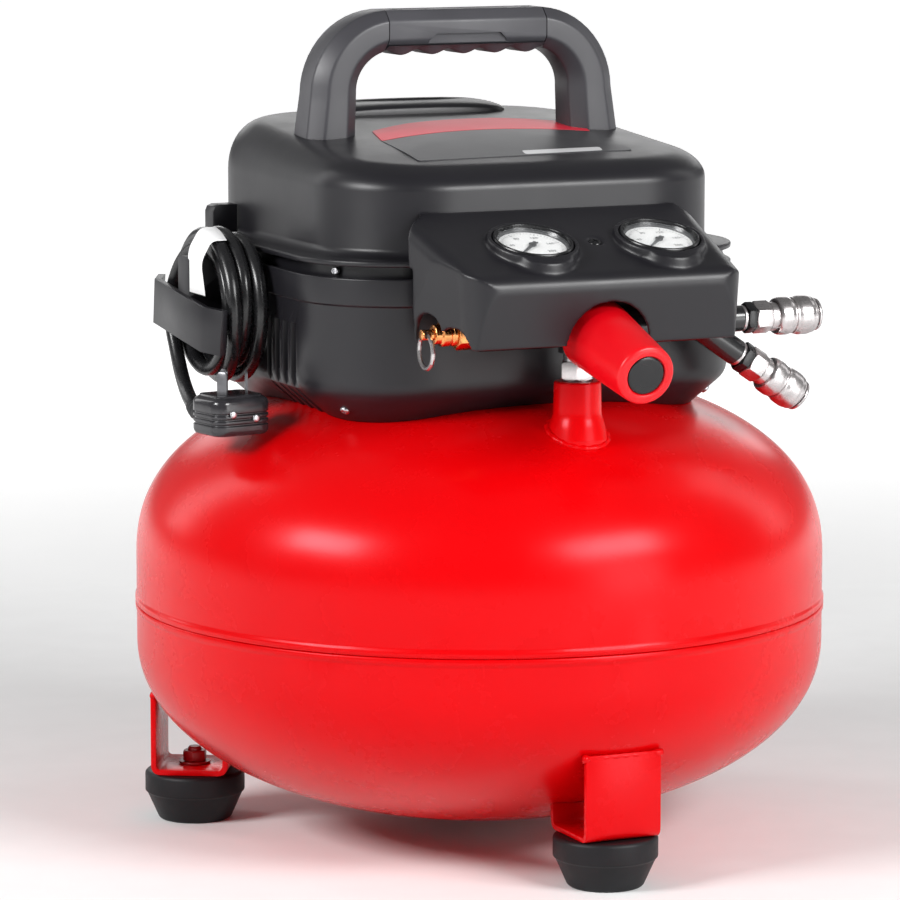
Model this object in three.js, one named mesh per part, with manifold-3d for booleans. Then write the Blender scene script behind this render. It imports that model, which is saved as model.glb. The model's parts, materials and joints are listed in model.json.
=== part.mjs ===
// A pancake air compressor. Millimetres, +Z up, the floor is z = 0, the gauge console faces -Y.
import * as THREE from 'three';
import { mergeVertices } from 'three/addons/utils/BufferGeometryUtils.js';
import Module from 'manifold-3d';

const wasm = await Module();
wasm.setup();

// ---------------------------------------------------------------- driving dimensions

const gap = 0.3;                      // running or seating clearance between two pieces
const centreY = 22;                   // the pump and its shrouds sit behind the tank's axis

// tank
const tankRadius = 200;
const tankWall = 2.5;
const tankBottom = 12;
const tankTop = 269;
const seamHeight = 136;
const seamLip = 1;
const seamLipHeight = 5;
const lowerStraight = 21.5;           // upright part of the wall below the seam
const upperStraight = 27;             // upright part of the wall above the seam
const lowerBulge = 2.1;               // roundness of the dished ends
const upperBulge = 2.33;
const tankFacets = 48;

// feet
const footInset = 31;                 // from the tank's widest line in to the bolts
const footCircle = tankRadius - footInset;
const footAngles = { front: -90, right: 30, left: 150 };
const footHeight = 29;
const footRimRadius = 29.4;
const footTreadRadius = 21.3;
const footRimHeight = 13;
const footEdge = 1.5;
const bracketWidth = 46;
const bracketDepth = 45;
const bracketSheet = 3;
const bracketTop = 78.5;
const footBoltRadius = 4;
const footBoltHead = 7.4;
const footWasherRadius = 9.4;
const footWasherSheet = 1.4;
const footNutHeight = 6.5;
const footCounterbore = 11;
const footCounterboreDepth = 13;

// lower shroud
const shroudWall = 3;
const shroudCorner = 62;
const lowerHalfX = 131.5;
const lowerHalfY = 127.5;
const lowerBandStep = 1.5;
const lowerShroudRise = 67;           // over the tank's top
const lowerShroudTop = tankTop + lowerShroudRise;
const bandHeight = 16;                // of the proud band round the top
const lowerBandBottom = lowerShroudTop - bandHeight;
const taperRise = 2;
const lowerTaperTop = tankTop + taperRise;
const lowerTaper = 1.15;              // inward run for each millimetre down
const skirtDrop = 29;
const lowerSkirtBottom = tankTop - skirtDrop;
const ventCount = 4;
const ventRear = -22;                 // the rearmost slot, from the pump's centre line
const ventPitch = 12;
const ventWidth = 7.4;
const ventDepth = 1.8;
const ventRise = 39;
const ventTop = tankTop + ventRise;

// pump
const plateRise = 9;
const plateTop = tankTop + plateRise;
const plateSheet = 4;
const plateMargin = 39.5;             // from the plate's ends out to the lower shroud
const plateHalfX = lowerHalfX - plateMargin;
const plateHalfY = 62;
const plateLegInset = 16;
const plateLedge = 1;                 // of the plate, behind the motor's axis
const shroudToBore = 5.3125;          // the lower shroud's half-depth over the bore's radius
const boreRadius = lowerHalfY / shroudToBore;
const cylinderWall = 5;
const finReach = 4;
const finCount = 3;
const finSheet = 2;
const headHalf = boreRadius + cylinderWall + finReach;
const flywheelProud = 3;
const flywheelRadius = headHalf + flywheelProud;
const flywheelRim = 6;
const flywheelClearance = 4;          // from the flywheel down to the base plate
const shaftHeight = plateTop + flywheelClearance + flywheelRadius;
const motorFootHeight = 8;
const motorRadius = shaftHeight - plateTop - motorFootHeight;
const motorClearance = 8.5;           // from the motor to the rear wall
const motorSpacing = 2;               // from the motor to the crankcase
const motorY = centreY + lowerHalfY - shroudWall - motorClearance - motorRadius;
const plateCentreY = motorY + plateLedge - plateHalfY;
const motorMargin = 54.5;             // from the motor's end out to the lower shroud
const motorLeft = motorMargin - lowerHalfX;
const motorRight = 24;
const motorNeck = 14;
const motorFootHalf = 22;
const motorFootInset = 14;
const motorFootSink = 6;
const motorShaftRadius = 5;
const cavityHalf = boreRadius;
const crankcaseWall = 8;
const crankcaseLeft = -22;
const crankcaseRight = 30;
const bearingWall = 12;
const crankY = motorY - motorRadius - motorSpacing - crankcaseWall - cavityHalf;
const crankThrow = boreRadius / 3;
const crankPinRadius = 6;
const crankShaftRadius = 6;
const crankDiscInset = 4;
const crankDiscRadius = cavityHalf - crankDiscInset;
const crankDiscSheet = 6;
const rodWidth = 11;
const rodBigEnd = 10.5;
const rodSmallEnd = 6.5;
const rodSheet = 8;
const wristPinRadius = 3.5;
const wristPinLength = 22;
const cylinderRatio = 2.4;
const cylinderLength = boreRadius * cylinderRatio;
const wristSetback = 6;
const rodLength = cylinderLength - wristSetback;
const pistonRatio = 1.4;
const pistonLength = boreRadius * pistonRatio;
const pistonWall = 3;
const pistonCrown = 4;
const headDepth = 20;
const headFinCount = 6;
const headFinSheet = 2.6;
const headFinDepth = 11;
const pulleyStart = 41;
const pulleyWidth = 16;
const motorPulleyRadius = 9.5;
const beltSheet = 1.8;
const fanSpacing = 16;
const fanLeft = motorLeft - fanSpacing;
const fanInset = 4;
const fanRadius = motorRadius - fanInset;
const fanHub = 11;
const fanWidth = 12;
const fanBlades = 7;
const fanBladeSheet = 3;
const tubeRadius = 3.2;
const tubeRise = 18;                  // of the tube's level run, over the check valve
const checkValveReach = 19;           // from the head's side out to the valve
const checkValveX = headHalf + checkValveReach;
const checkValveRadius = 9;
const checkValveHeight = 22;

// pressure switch, on the hidden rear wall
const switchHalfHeight = 9.5;
const switchClearance = 1;            // over the motor
const switchHeight = shaftHeight + motorRadius + switchClearance + switchHalfHeight;
const switchHalf = 24;
const switchDepth = 30;
const rockerWidth = 20;
const rockerHeight = 13;
const rockerProud = 2.2;
const rockerDepth = 9;

// upper shroud
const shroudGroove = 6.5;             // open band between the two shrouds
const grooveDepth = 5;                // how far the skirt draws in behind it
const lipSheet = 3.5;
const upperInsetX = 12;               // from the lower shroud's walls in to the upper one's
const upperHalfX = lowerHalfX - upperInsetX;
const upperInsetY = 6.5;
const upperHalfY = lowerHalfY - upperInsetY;
const shoulderClearance = 13;         // over the switch
const upperShoulder = switchHeight + switchHalfHeight + shoulderClearance;
const shoulderRadius = 22;            // where the side turns into the top
const roofHeight = upperShoulder + shoulderRadius;
const upperCrown = 3;
const roofSlope = 0.08;               // the roof rises towards the rear
const crownInset = 38;
const skirtRise = 2;                  // the foot of the skirt, over the band's lower edge
const skirtFoot = lowerBandBottom + skirtRise;
const skirtShelf = 5;                 // its step, under the top of the lower shroud
const humpWidth = 94;
const humpLength = 84;
const humpRise = 15;
const humpTop = roofHeight + humpRise;
const humpSetback = 62;               // behind the pump's centre line
const humpCentreY = centreY + humpSetback;
const humpCorner = 22;

// carrying handle
const handleSetback = 10;
const handleY = centreY + handleSetback;
const handleHalfSpan = 81.5;
const handleRise = 73;
const handleTop = roofHeight + handleRise;
const handleBend = 36;
const legWidth = 28.5;
const barHeight = 23;
const handleDepth = 34;
const handleChamfer = 8;
const legFlare = 1.08;
const gripHalfLength = 50;
const gripWall = 4;
const gripSplitDrop = 20;
const gripSplit = handleTop - gripSplitDrop;
const fingerCount = 5;
const fingerDepth = 3;

// console
const consoleDepth = 77;
const consoleRearY = centreY - upperHalfY - 1;
const consoleFrontY = consoleRearY - consoleDepth;
const consoleRise = 103;
const consoleRearTop = tankTop + consoleRise;
const consoleFall = 30.5;             // of the panel, from rear to front
const consoleFrontTop = consoleRearTop - consoleFall;
const consoleHeight = 69;
const consoleBottom = consoleRearTop - consoleHeight;
const consoleLeftRear = 100;
const consoleRightRear = 88;
const consoleFrontHalf = 86;
const consoleLeftChamfer = 19;
const consoleRightChamfer = 12;
const consoleCorner = 18;
const consoleDraft = 0.08;            // the side walls draw in towards the bottom
const consoleNotch = 13;              // how far the side walls stand off the lower shroud
const valveArchSetback = 25;          // behind the console's front edge
const valveArchY = consoleFrontY + valveArchSetback;
const valveArchRadius = 15;
const valvePortRadius = 11.5;
const consoleLean = 7;                // how far the foot of the front wall stands back
const consoleEdge = 7;                // rounding along the top of the front wall
const consoleRightRoll = 15;          // rounding of the panel's long edges
const consoleLeftRoll = 8;
const consoleWall = 3;

// gauges
const gaugeX = [-33.5, 44];
const gaugeSetback = 33;
const gaugeY = consoleFrontY + gaugeSetback;
const gaugeTilt = 17.4;
const gaugeRise = 5;
const podWall = 2.8;
const podFlare = 1.5;
const cowlReach = 9;                  // how far the cowl runs ahead of its gauge
const cowlRadius = 17;
const cowlDrop = 1.6;
const cowlFlare = 3;
const gaugeRadius = 22.6;
const gaugeDepth = 20;
const gaugeBezel = 3.6;
const dialRadius = gaugeRadius - gaugeBezel;
const dialDrop = 3.6;
const dialSheet = 0.8;
const needleLength = 14;
const needleTail = 5;
const needleWidth = 1.4;
const needleSheet = 0.6;
const lensSheet = 1;
const needleRestAngle = -135;         // the needle's own zero, from twelve o'clock

// air manifold, regulator and valves
const manifoldSetback = 46;           // behind the console's front edge
const manifoldY = consoleFrontY + manifoldSetback;
const bungRise = 9.5;
const bungTop = tankTop + bungRise;
const manifoldRise = 30;
const manifoldHeight = bungTop + manifoldRise;
const valveArchDrop = 9.5;            // the round top of the valve's arch, under the manifold's axis
const valveArchSpring = manifoldHeight - valveArchDrop;
const manifoldRadius = 11;
const manifoldLeft = -60;
const manifoldRight = 78;
const outletRadius = 7.6;
const branchX = 70;
const outletSpacing = 31;             // from the branch to the end of the upper outlet
const outletEnd = branchX + outletSpacing;
const branchAngle = -33.6;
const branchLength = 35;
const bungRadius = 13;
const bungFlare = 17;
const nippleRadius = 8;
const nippleNut = 9.8;
const nippleNutHeight = 11;
const regulatorRise = 4.5;
const regulatorTilt = 14.5;
const manifoldBoss = 3;               // wall of the boss round the nipple
const regulatorOffset = 4;
const regulatorSeat = nippleRadius + manifoldBoss + regulatorOffset;
const bonnetRadius = 15;
const bonnetLength = 34;
const spindleRadius = 4;
const spindleLength = 16;
const knobStart = 22;
const knobEnd = 88.5;
const knobRearRadius = 20.5;
const knobFrontRadius = 16;
const knobRim = 3;
const knobCapRadius = 10.7;
const knobCapSheet = 2;
const archClearance = 4;
const valveRadius = 7;
const valveNutRadius = 9.5;
const valveNutLength = 15;
const valveBodyLength = 9;
const valveNeckRadius = 5.5;
const valveNeckLength = 4;
const stemRadius = 3;
const stemLength = 7;
const ringRadius = 9.4;
const ringWire = 1.2;

// quick couplers
const couplerCollarRadius = 7.2;
const couplerCollarLength = 2.5;
const sealRadius = 9.6;
const sealLength = 5;
const couplerHexRadius = 9.4;
const couplerHexLength = 10.5;
const couplerBarrelRadius = 8.2;
const noseClearance = 0.8;
const couplerNoseRadius = 8.2;
const couplerNoseLength = 2.5;
const couplerBore = 4.2;
const couplerBoreDepth = 26;
const sleeveRadius = 11.2;
const sleeveLength = 24;
const sleeveWaist = 1.6;              // how far the sleeve narrows between its two swells
const sleeveTravel = 3.5;
const sleeveClearance = 0.6;

// drain valve
const drainAngle = 90;
const drainInset = 32;                // from the tank's widest line in to the drain
const drainReach = tankRadius - drainInset;
const drainDip = -42;                 // direction of the drain, below level
const drainBossRadius = 10;
const drainBossLength = 8;
const drainBodyRadius = 7;
const drainBodyLength = 16;
const drainSpindleRadius = 3;
const drainWingSpan = 24;
const drainWingSheet = 5;
const drainWingHeight = 9;

// power cord, its hook and its plug
const cordRadius = 4.2;
const coilRadius = 41;
const coilTurns = 3;                  // turns side by side, in two nested layers
const coilPitch = 8.4;
const coilNesting = 0.87;
const coilSetback = 8;                // behind the pump's centre line
const coilY = centreY + coilSetback;
const coilRise = 42;
const coilHeight = tankTop + coilRise;
const fingerOffset = 44;              // the moulded finger over the shroud's lip, behind the coil's centre
const fingerFront = coilY + fingerOffset;
const fingerLength = 13;
const fingerRise = 53;                // over the coil's centre
const fingerTop = coilHeight + fingerRise;
const fingerEdge = 4;
const hookPadDrop = 15;
const hookPadBottom = coilHeight - hookPadDrop;
const hookPadOffset = -22;
const hookPadFront = coilY + hookPadOffset;
const hookPadLength = 52;
const hookArmDrop = 20;               // height of the arm that carries the finger
const hookReach = 3;
const hookPostHalf = 9;
const hookPostHeight = 44;
const hookPlateSheet = 4;
const hookPlateHeight = 26;
const hookPlateHalf = 37;
const hookPlateOffset = 3;
const hookPlateY = coilY + hookPlateOffset;
const plateOverPlug = 12.5;           // from the plug's pins up to the hook's plate
const hookPlateEnd = 14;
const hookPlateTurn = 30;
const hookPlateTilt = 6.5;
const glandOffset = 66;
const glandY = coilY + glandOffset;
const glandDrop = 21;
const glandHeight = coilHeight - glandDrop;
const glandFlange = 9;
const glandFlangeSheet = 3;
const glandTip = 5.2;
const glandFlare = 2;
const leadFree = 31.8;                // bare cord between the gland and the coil
const tailAngle = -33.3;              // where the cord's free length leaves the coil
const tailRadius = 37.4;
const tailSpread = 1.8;               // how late on its way it swings out
const tailSteps = 5;
const plugReach = 3.2;                // outward from the coil's outer side
const plugOffset = -54;
const plugClearance = 0.8;            // over the tank's shoulder
const plugTurn = 10;
const plugWidth = 37;
const plugHeight = 32;
const plugDepth = 23;
const plugEntry = -3;
const pinLength = 13;
const pinWidth = 6.3;
const pinSheet = 1.6;
const pinSpread = 7.9;
const pinRise = -4;
const pinSplay = 30;
const earthRise = 7;

// ---------------------------------------------------------------- finishes

const finish = (color, roughness, metalness) => ({ color, roughness, metalness });
const redPaint = finish(0xc8060e, 0.28, 0.1);
const blackPlastic = finish(0x2f2e31, 0.5, 0);
const darkTrim = finish(0x17171a, 0.45, 0);
const greyPlastic = finish(0x4b4a50, 0.5, 0);
const redPlastic = finish(0xd40a18, 0.4, 0);
const blackRubber = finish(0x1c1b1c, 0.8, 0);
const nickel = finish(0xc9c6c8, 0.25, 0.95);
const zinc = finish(0xb4b4b8, 0.35, 0.9);
const brass = finish(0xc98a4a, 0.3, 0.9);
const castAlloy = finish(0x8d9095, 0.55, 0.8);
const whiteFace = finish(0xf3f3f1, 0.6, 0);
const clearGlass = finish(0xeaf2f5, 0.05, 0);
const copper = finish(0xb9703f, 0.35, 0.9);

// ---------------------------------------------------------------- solid helpers

const radians = THREE.MathUtils.degToRad;
const degrees = THREE.MathUtils.radToDeg;
const vector = (x, y, z) => new THREE.Vector3(x, y, z);

function solidOf(geometry) {
  const bare = geometry.clone();
  bare.deleteAttribute('normal');
  bare.deleteAttribute('uv');
  const merged = mergeVertices(bare, 1e-4);
  const position = merged.getAttribute('position');
  const corners = Array.from(merged.getIndex().array);
  const triangles = [];
  let volume = 0;
  for (let i = 0; i < corners.length; i += 3) {
    const [a, b, c] = corners.slice(i, i + 3);
    if (a === b || b === c || c === a) continue;
    triangles.push(a, b, c);
    const [pa, pb, pc] = [a, b, c].map((k) => new THREE.Vector3().fromBufferAttribute(position, k));
    volume += pa.dot(pb.cross(pc));
  }
  if (volume < 0) triangles.reverse();
  return new wasm.Manifold(new wasm.Mesh({
    numProp: 3,
    vertProperties: new Float32Array(position.array),
    triVerts: new Uint32Array(triangles),
  }));
}

function geometryOf(solid) {
  const mesh = solid.getMesh();
  const geometry = new THREE.BufferGeometry();
  geometry.setAttribute('position', new THREE.BufferAttribute(new Float32Array(mesh.vertProperties), 3));
  geometry.setIndex(new THREE.BufferAttribute(new Uint32Array(mesh.triVerts), 1));
  geometry.computeVertexNormals();
  return geometry;
}

const join = (first, ...others) => others.reduce((all, next) => all.add(next), first);
const cut = (body, ...tools) => tools.reduce((left, tool) => left.subtract(tool), body);
const turnedAboutZ = (solid, degrees) => solid.rotate([0, 0, degrees]);

// A turned form: pairs of radius and distance along the axis, from base towards direction.
function turned(profile, base, direction, facets) {
  const points = profile.map(([radius, along]) => new THREE.Vector2(radius, along));
  const geometry = new THREE.LatheGeometry(points, facets);
  const towards = direction.clone().normalize();
  geometry.applyQuaternion(new THREE.Quaternion().setFromUnitVectors(vector(0, 1, 0), towards));
  geometry.translate(base.x, base.y, base.z);
  return solidOf(geometry);
}

function rod(from, to, radius, facets, endRadius = radius) {
  const length = from.distanceTo(to);
  return turned([[0, 0], [radius, 0], [endRadius, length], [0, length]], from, to.clone().sub(from), facets);
}

function box(low, high) {
  const size = high.clone().sub(low);
  const geometry = new THREE.BoxGeometry(size.x, size.y, size.z);
  geometry.translate((low.x + high.x) / 2, (low.y + high.y) / 2, (low.z + high.z) / 2);
  return solidOf(geometry);
}

// A flat outline pushed through a thickness, then carried into place by a matrix.
function prism(outline, thickness, matrix = new THREE.Matrix4(), curveSegments = 6) {
  const shape = outline instanceof THREE.Shape ? outline : new THREE.Shape(outline);
  const geometry = new THREE.ExtrudeGeometry(shape, { depth: thickness, bevelEnabled: false, curveSegments });
  geometry.applyMatrix4(matrix);
  return solidOf(geometry);
}

// Frames for outlines drawn in a side view: (y, z) pushed along +X, or (x, z) pushed along +Y.
function alongX(x) {
  return new THREE.Matrix4().makeBasis(vector(0, 1, 0), vector(0, 0, 1), vector(1, 0, 0)).setPosition(x, 0, 0);
}
function alongY(y) {
  return new THREE.Matrix4().makeBasis(vector(1, 0, 0), vector(0, 0, 1), vector(0, -1, 0)).setPosition(0, y, 0);
}
const pair = (a, b) => new THREE.Vector2(a, b);

// Skins a stack of rings that all have the same number of points, and closes both ends.
function loft(rings) {
  const count = rings[0].length;
  const position = [];
  const index = [];
  for (const ring of rings) {
    for (const point of ring) position.push(point.x, point.y, point.z);
  }
  for (let row = 0; row < rings.length - 1; row += 1) {
    for (let i = 0; i < count; i += 1) {
      const a = row * count + i;
      const b = row * count + (i + 1) % count;
      index.push(a, b, b + count, a, b + count, a + count);
    }
  }
  const capEnd = (ring, start, flip) => {
    const middle = ring.reduce((sum, point) => sum.add(point), vector(0, 0, 0)).divideScalar(count);
    position.push(middle.x, middle.y, middle.z);
    const hub = position.length / 3 - 1;
    for (let i = 0; i < count; i += 1) {
      const next = (i + 1) % count;
      index.push(hub, start + (flip ? next : i), start + (flip ? i : next));
    }
  };
  capEnd(rings[0], 0, true);
  capEnd(rings[rings.length - 1], (rings.length - 1) * count, false);
  const geometry = new THREE.BufferGeometry();
  geometry.setAttribute('position', new THREE.Float32BufferAttribute(position, 3));
  geometry.setIndex(index);
  return solidOf(geometry);
}

// A level rounded rectangle about the pump's centre line.
function planRing(halfX, halfY, corner, z, steps = 5) {
  const radius = Math.min(corner, halfX, halfY);
  const ring = [];
  for (let quarter = 0; quarter < 4; quarter += 1) {
    const signX = quarter === 0 || quarter === 3 ? 1 : -1;
    const signY = quarter < 2 ? 1 : -1;
    for (let step = 0; step <= steps; step += 1) {
      const angle = radians(90 * (quarter + step / steps));
      ring.push(vector(
        signX * (halfX - radius) + radius * Math.cos(angle),
        centreY + signY * (halfY - radius) + radius * Math.sin(angle),
        z,
      ));
    }
  }
  return ring;
}

// ---------------------------------------------------------------- tank

const upperSpring = seamHeight + upperStraight;
const lowerSpring = seamHeight - lowerStraight;

function dishCurve(radius, rise, bulge, steps) {
  const points = [];
  for (let step = 0; step <= steps; step += 1) {
    const angle = (Math.PI / 2) * (step / steps);
    const across = Math.max(Math.cos(angle), 0) ** (2 / bulge);
    points.push([radius * (step === steps ? 0 : across), rise * Math.sin(angle) ** (2 / bulge)]);
  }
  return points;
}

function tankSurfaceAt(radius) {
  return upperSpring + (tankTop - upperSpring) * (1 - (radius / tankRadius) ** upperBulge) ** (1 / upperBulge);
}

const upAxis = vector(0, 0, 1);
const origin = vector(0, 0, 0);
const dishSteps = 8;
const innerDishSteps = 4;

function tankShell(isUpper) {
  const side = isUpper ? 1 : -1;
  const spring = isUpper ? upperSpring : lowerSpring;
  const rise = isUpper ? tankTop - upperSpring : lowerSpring - tankBottom;
  const bulge = isUpper ? upperBulge : lowerBulge;
  const lipEnd = seamHeight + side * seamLipHeight;
  const outer = dishCurve(tankRadius, rise, bulge, dishSteps).map(([r, h]) => [r, spring + side * h]);
  const inner = dishCurve(tankRadius - tankWall, rise - tankWall, bulge, innerDishSteps)
    .map(([r, h]) => [r, spring + side * h]);
  const profile = [
    [tankRadius + seamLip, seamHeight],
    [tankRadius + seamLip, lipEnd - side],
    [tankRadius, lipEnd],
    ...outer,
    ...inner.reverse(),
    [tankRadius - tankWall, seamHeight],
    [tankRadius + seamLip, seamHeight],
  ];
  return turned(profile, origin, upAxis, tankFacets);
}

// The outer form of the tank, grown a little, for trimming what is welded to it or rests on it.
function tankForm(grow) {
  const top = dishCurve(tankRadius + grow, tankTop - upperSpring + grow, upperBulge, dishSteps)
    .map(([r, h]) => [r, upperSpring + h]);
  const bottom = dishCurve(tankRadius + grow, lowerSpring - tankBottom + grow, lowerBulge, dishSteps)
    .map(([r, h]) => [r, lowerSpring - h]);
  return turned([...bottom.reverse(), ...top], origin, upAxis, tankFacets);
}
const tankTrim = tankForm(gap);

// ---------------------------------------------------------------- feet

const bracketFloor = footHeight + gap;
const bracketOuter = footCircle + bracketDepth / 2;
const bracketInner = footCircle - bracketDepth / 2;
const footPoint = vector(0, -footCircle, 0);

function footBracket() {
  const profile = [
    pair(-bracketOuter, bracketFloor),
    pair(-bracketInner, bracketFloor),
    pair(-bracketInner, bracketTop),
    pair(-bracketInner - bracketSheet, bracketTop),
    pair(-bracketInner - bracketSheet, bracketFloor + bracketSheet),
    pair(-bracketOuter + bracketSheet, bracketFloor + bracketSheet),
    pair(-bracketOuter + bracketSheet, bracketTop),
    pair(-bracketOuter, bracketTop),
  ];
  const strap = prism(profile, bracketWidth, alongX(-bracketWidth / 2));
  const boltHole = rod(footPoint, vector(0, -footCircle, bracketTop), footBoltRadius + gap, 16);
  return cut(strap, tankTrim, boltHole);
}

function rubberFoot() {
  const taperTop = footHeight - footRimHeight - footEdge;
  const hole = footBoltRadius + gap;
  const profile = [
    [footCounterbore, 0],
    [footTreadRadius - footEdge, 0],
    [footTreadRadius, footEdge],
    [footRimRadius - footEdge, taperTop],
    [footRimRadius, taperTop + footEdge],
    [footRimRadius, footHeight - footEdge],
    [footRimRadius - footEdge, footHeight],
    [hole, footHeight],
    [hole, footCounterboreDepth],
    [footCounterbore, footCounterboreDepth],
    [footCounterbore, 0],
  ];
  return turned(profile, footPoint, upAxis, 20);
}

function footBolt() {
  const underside = footCounterboreDepth - gap;
  const washerBase = bracketFloor + bracketSheet + gap;
  const nutBase = washerBase + footWasherSheet;
  const at = (z) => vector(0, -footCircle, z);
  return join(
    rod(at(underside - footWasherSheet), at(underside), footWasherRadius, 16),
    rod(at(underside - footWasherSheet - footNutHeight), at(underside - footWasherSheet), footBoltHead, 6),
    rod(at(underside - footWasherSheet), at(nutBase + footNutHeight + 2.5), footBoltRadius, 16),
    rod(at(washerBase), at(nutBase), footWasherRadius, 16),
    rod(at(nutBase), at(nutBase + footNutHeight), footBoltHead, 6),
  );
}

// ---------------------------------------------------------------- lower shroud

function lowerForm(grow, top, bottom = lowerSkirtBottom) {
  const taperRun = (lowerTaperTop - bottom) * lowerTaper;
  const ring = (offset, z) => planRing(lowerHalfX + offset + grow, lowerHalfY + offset + grow,
    shroudCorner + offset + grow, z);
  return loft([
    ring(-taperRun, bottom),
    ring(0, lowerTaperTop),
    ring(0, lowerBandBottom),
    ring(lowerBandStep, lowerBandBottom + 1),
    ring(lowerBandStep, top),
  ]);
}

function lowerInside() {
  const taperRun = (lowerTaperTop - lowerSkirtBottom + 1) * lowerTaper;
  const ring = (offset, z) => planRing(lowerHalfX + offset - shroudWall, lowerHalfY + offset - shroudWall,
    shroudCorner + offset - shroudWall, z);
  return loft([
    ring(-taperRun, lowerSkirtBottom - 1),
    ring(0, lowerTaperTop),
    ring(0, lowerBandBottom - shroudWall),
    ring(lowerBandStep, lowerBandBottom + 1),
    ring(lowerBandStep, lowerShroudTop + 1),
  ]);
}

// Cooling slots let into the left wall, ahead of the cord, that follow it round the fold and in below.
function ventSlots() {
  const reach = 2;
  const endBelow = lowerTaperTop - lowerSkirtBottom + reach;
  const floorX = -lowerHalfX + ventDepth;
  const outline = new THREE.Shape([
    pair(-lowerHalfX - reach, ventTop), pair(floorX, ventTop - ventDepth), pair(floorX, lowerTaperTop),
    pair(floorX + endBelow * lowerTaper, lowerTaperTop - endBelow),
    pair(-lowerHalfX - reach, lowerTaperTop - endBelow),
  ]);
  const slots = [];
  for (let i = 0; i < ventCount; i += 1) {
    const rear = centreY + ventRear - i * ventPitch + ventWidth / 2;
    slots.push(prism(outline, ventWidth, alongY(rear)));
  }
  return slots;
}

const glandPoint = vector(-lowerHalfX, glandY, glandHeight);
const outward = vector(-1, 0, 0);

function lowerShroud() {
  const glandHole = rod(glandPoint.clone().addScaledVector(outward, 2),
    glandPoint.clone().addScaledVector(outward, -shroudWall - 2), glandTip + gap, 16);
  return cut(lowerForm(0, lowerShroudTop), lowerInside(), tankTrim, ...ventSlots(), glandHole);
}

// ---------------------------------------------------------------- upper shroud

const lipBottom = lowerShroudTop + shroudGroove;
const lipTop = lipBottom + lipSheet;

const roofTilted = (point, share) => point.setZ(point.z + roofSlope * share * (point.y - centreY));

function upperForm(grow) {
  const rings = [
    planRing(lowerHalfX + lowerBandStep + grow, lowerHalfY + lowerBandStep + grow,
      shroudCorner + lowerBandStep + grow, lipBottom - grow),
    planRing(lowerHalfX + lowerBandStep + grow, lowerHalfY + lowerBandStep + grow,
      shroudCorner + lowerBandStep + grow, lipTop + grow),
    planRing(upperHalfX + 1.5 + grow, upperHalfY + 1.5 + grow, shroudCorner + grow, lipTop + grow + 0.5),
    planRing(upperHalfX + grow, upperHalfY + grow, shroudCorner + grow, upperShoulder),
  ];
  const shoulderSteps = 5;
  for (let step = 1; step <= shoulderSteps; step += 1) {
    const angle = (Math.PI / 2) * (step / shoulderSteps);
    const inset = shoulderRadius * (1 - Math.cos(angle));
    rings.push(planRing(upperHalfX - inset + grow, upperHalfY - inset + grow,
      shroudCorner - inset + grow, upperShoulder + (shoulderRadius + grow) * Math.sin(angle))
      .map((point) => roofTilted(point, Math.sin(angle))));
  }
  rings.push(planRing(upperHalfX - shoulderRadius - crownInset, upperHalfY - shoulderRadius - crownInset,
    shroudCorner - shoulderRadius, roofHeight + upperCrown + grow).map((point) => roofTilted(point, 1)));
  return loft(rings);
}

// The raised part of the roof behind the handle.
function hump(grow) {
  const ring = (inset, z) => planRing(humpWidth / 2 - inset + grow, humpLength / 2 - inset + grow,
    humpCorner, z).map((point) => point.setY(point.y + humpCentreY - centreY));
  const top = humpTop + grow;
  return loft([
    ring(0, roofHeight - 4),
    ring(0, roofHeight + 5),
    ring(5, top - 2),
    ring(9, top),
  ]);
}

function upperInside() {
  const inset = shroudWall;
  const rings = [
    planRing(upperHalfX - inset, upperHalfY - inset, shroudCorner - inset, skirtFoot - 1),
    planRing(upperHalfX - inset, upperHalfY - inset, shroudCorner - inset, upperShoulder),
  ];
  const steps = 3;
  for (let step = 1; step <= steps; step += 1) {
    const angle = (Math.PI / 2) * (step / steps);
    const turn = shoulderRadius * (1 - Math.cos(angle));
    rings.push(planRing(upperHalfX - inset - turn, upperHalfY - inset - turn, shroudCorner - inset - turn,
      upperShoulder + (shoulderRadius - inset) * Math.sin(angle))
      .map((point) => roofTilted(point, Math.sin(angle))));
  }
  return loft(rings);
}

const rearWall = centreY + upperHalfY;

function upperShroud() {
  const skirtHalfX = lowerHalfX + lowerBandStep - shroudWall - gap;
  const skirtHalfY = lowerHalfY + lowerBandStep - shroudWall - gap;
  const skirtCorner = shroudCorner + lowerBandStep - shroudWall - gap;
  const skirtRing = (inset, z) => planRing(skirtHalfX - inset, skirtHalfY - inset, skirtCorner - inset, z);
  const skirtStep = lowerShroudTop - skirtShelf;
  const skirt = loft([
    skirtRing(0, skirtFoot), skirtRing(0, skirtStep), skirtRing(grooveDepth, skirtStep + grooveDepth / 2),
    skirtRing(grooveDepth, lipBottom + 1),
  ]);
  const skirtInside = loft([
    skirtRing(shroudWall, skirtFoot - 1), skirtRing(shroudWall, skirtStep - shroudWall),
    skirtRing(grooveDepth + shroudWall, skirtStep + grooveDepth / 2 - shroudWall),
    skirtRing(grooveDepth + shroudWall, lipBottom - 1),
  ]);
  const rockerWindow = box(
    vector(-rockerWidth / 2 - gap, rearWall - shroudWall - 3, switchHeight - rockerHeight / 2 - gap),
    vector(rockerWidth / 2 + gap, rearWall + 2, switchHeight + rockerHeight / 2 + gap),
  );
  const humpRoom = hump(-shroudWall).intersect(box(
    vector(-humpWidth, 0, roofHeight - shroudWall), vector(humpWidth, 2 * tankRadius, humpTop)));
  return cut(join(upperForm(0), hump(0), skirt), skirtInside, upperInside(), humpRoom, rockerWindow);
}

// ---------------------------------------------------------------- carrying handle

const barMiddle = handleTop - barHeight / 2;

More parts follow.
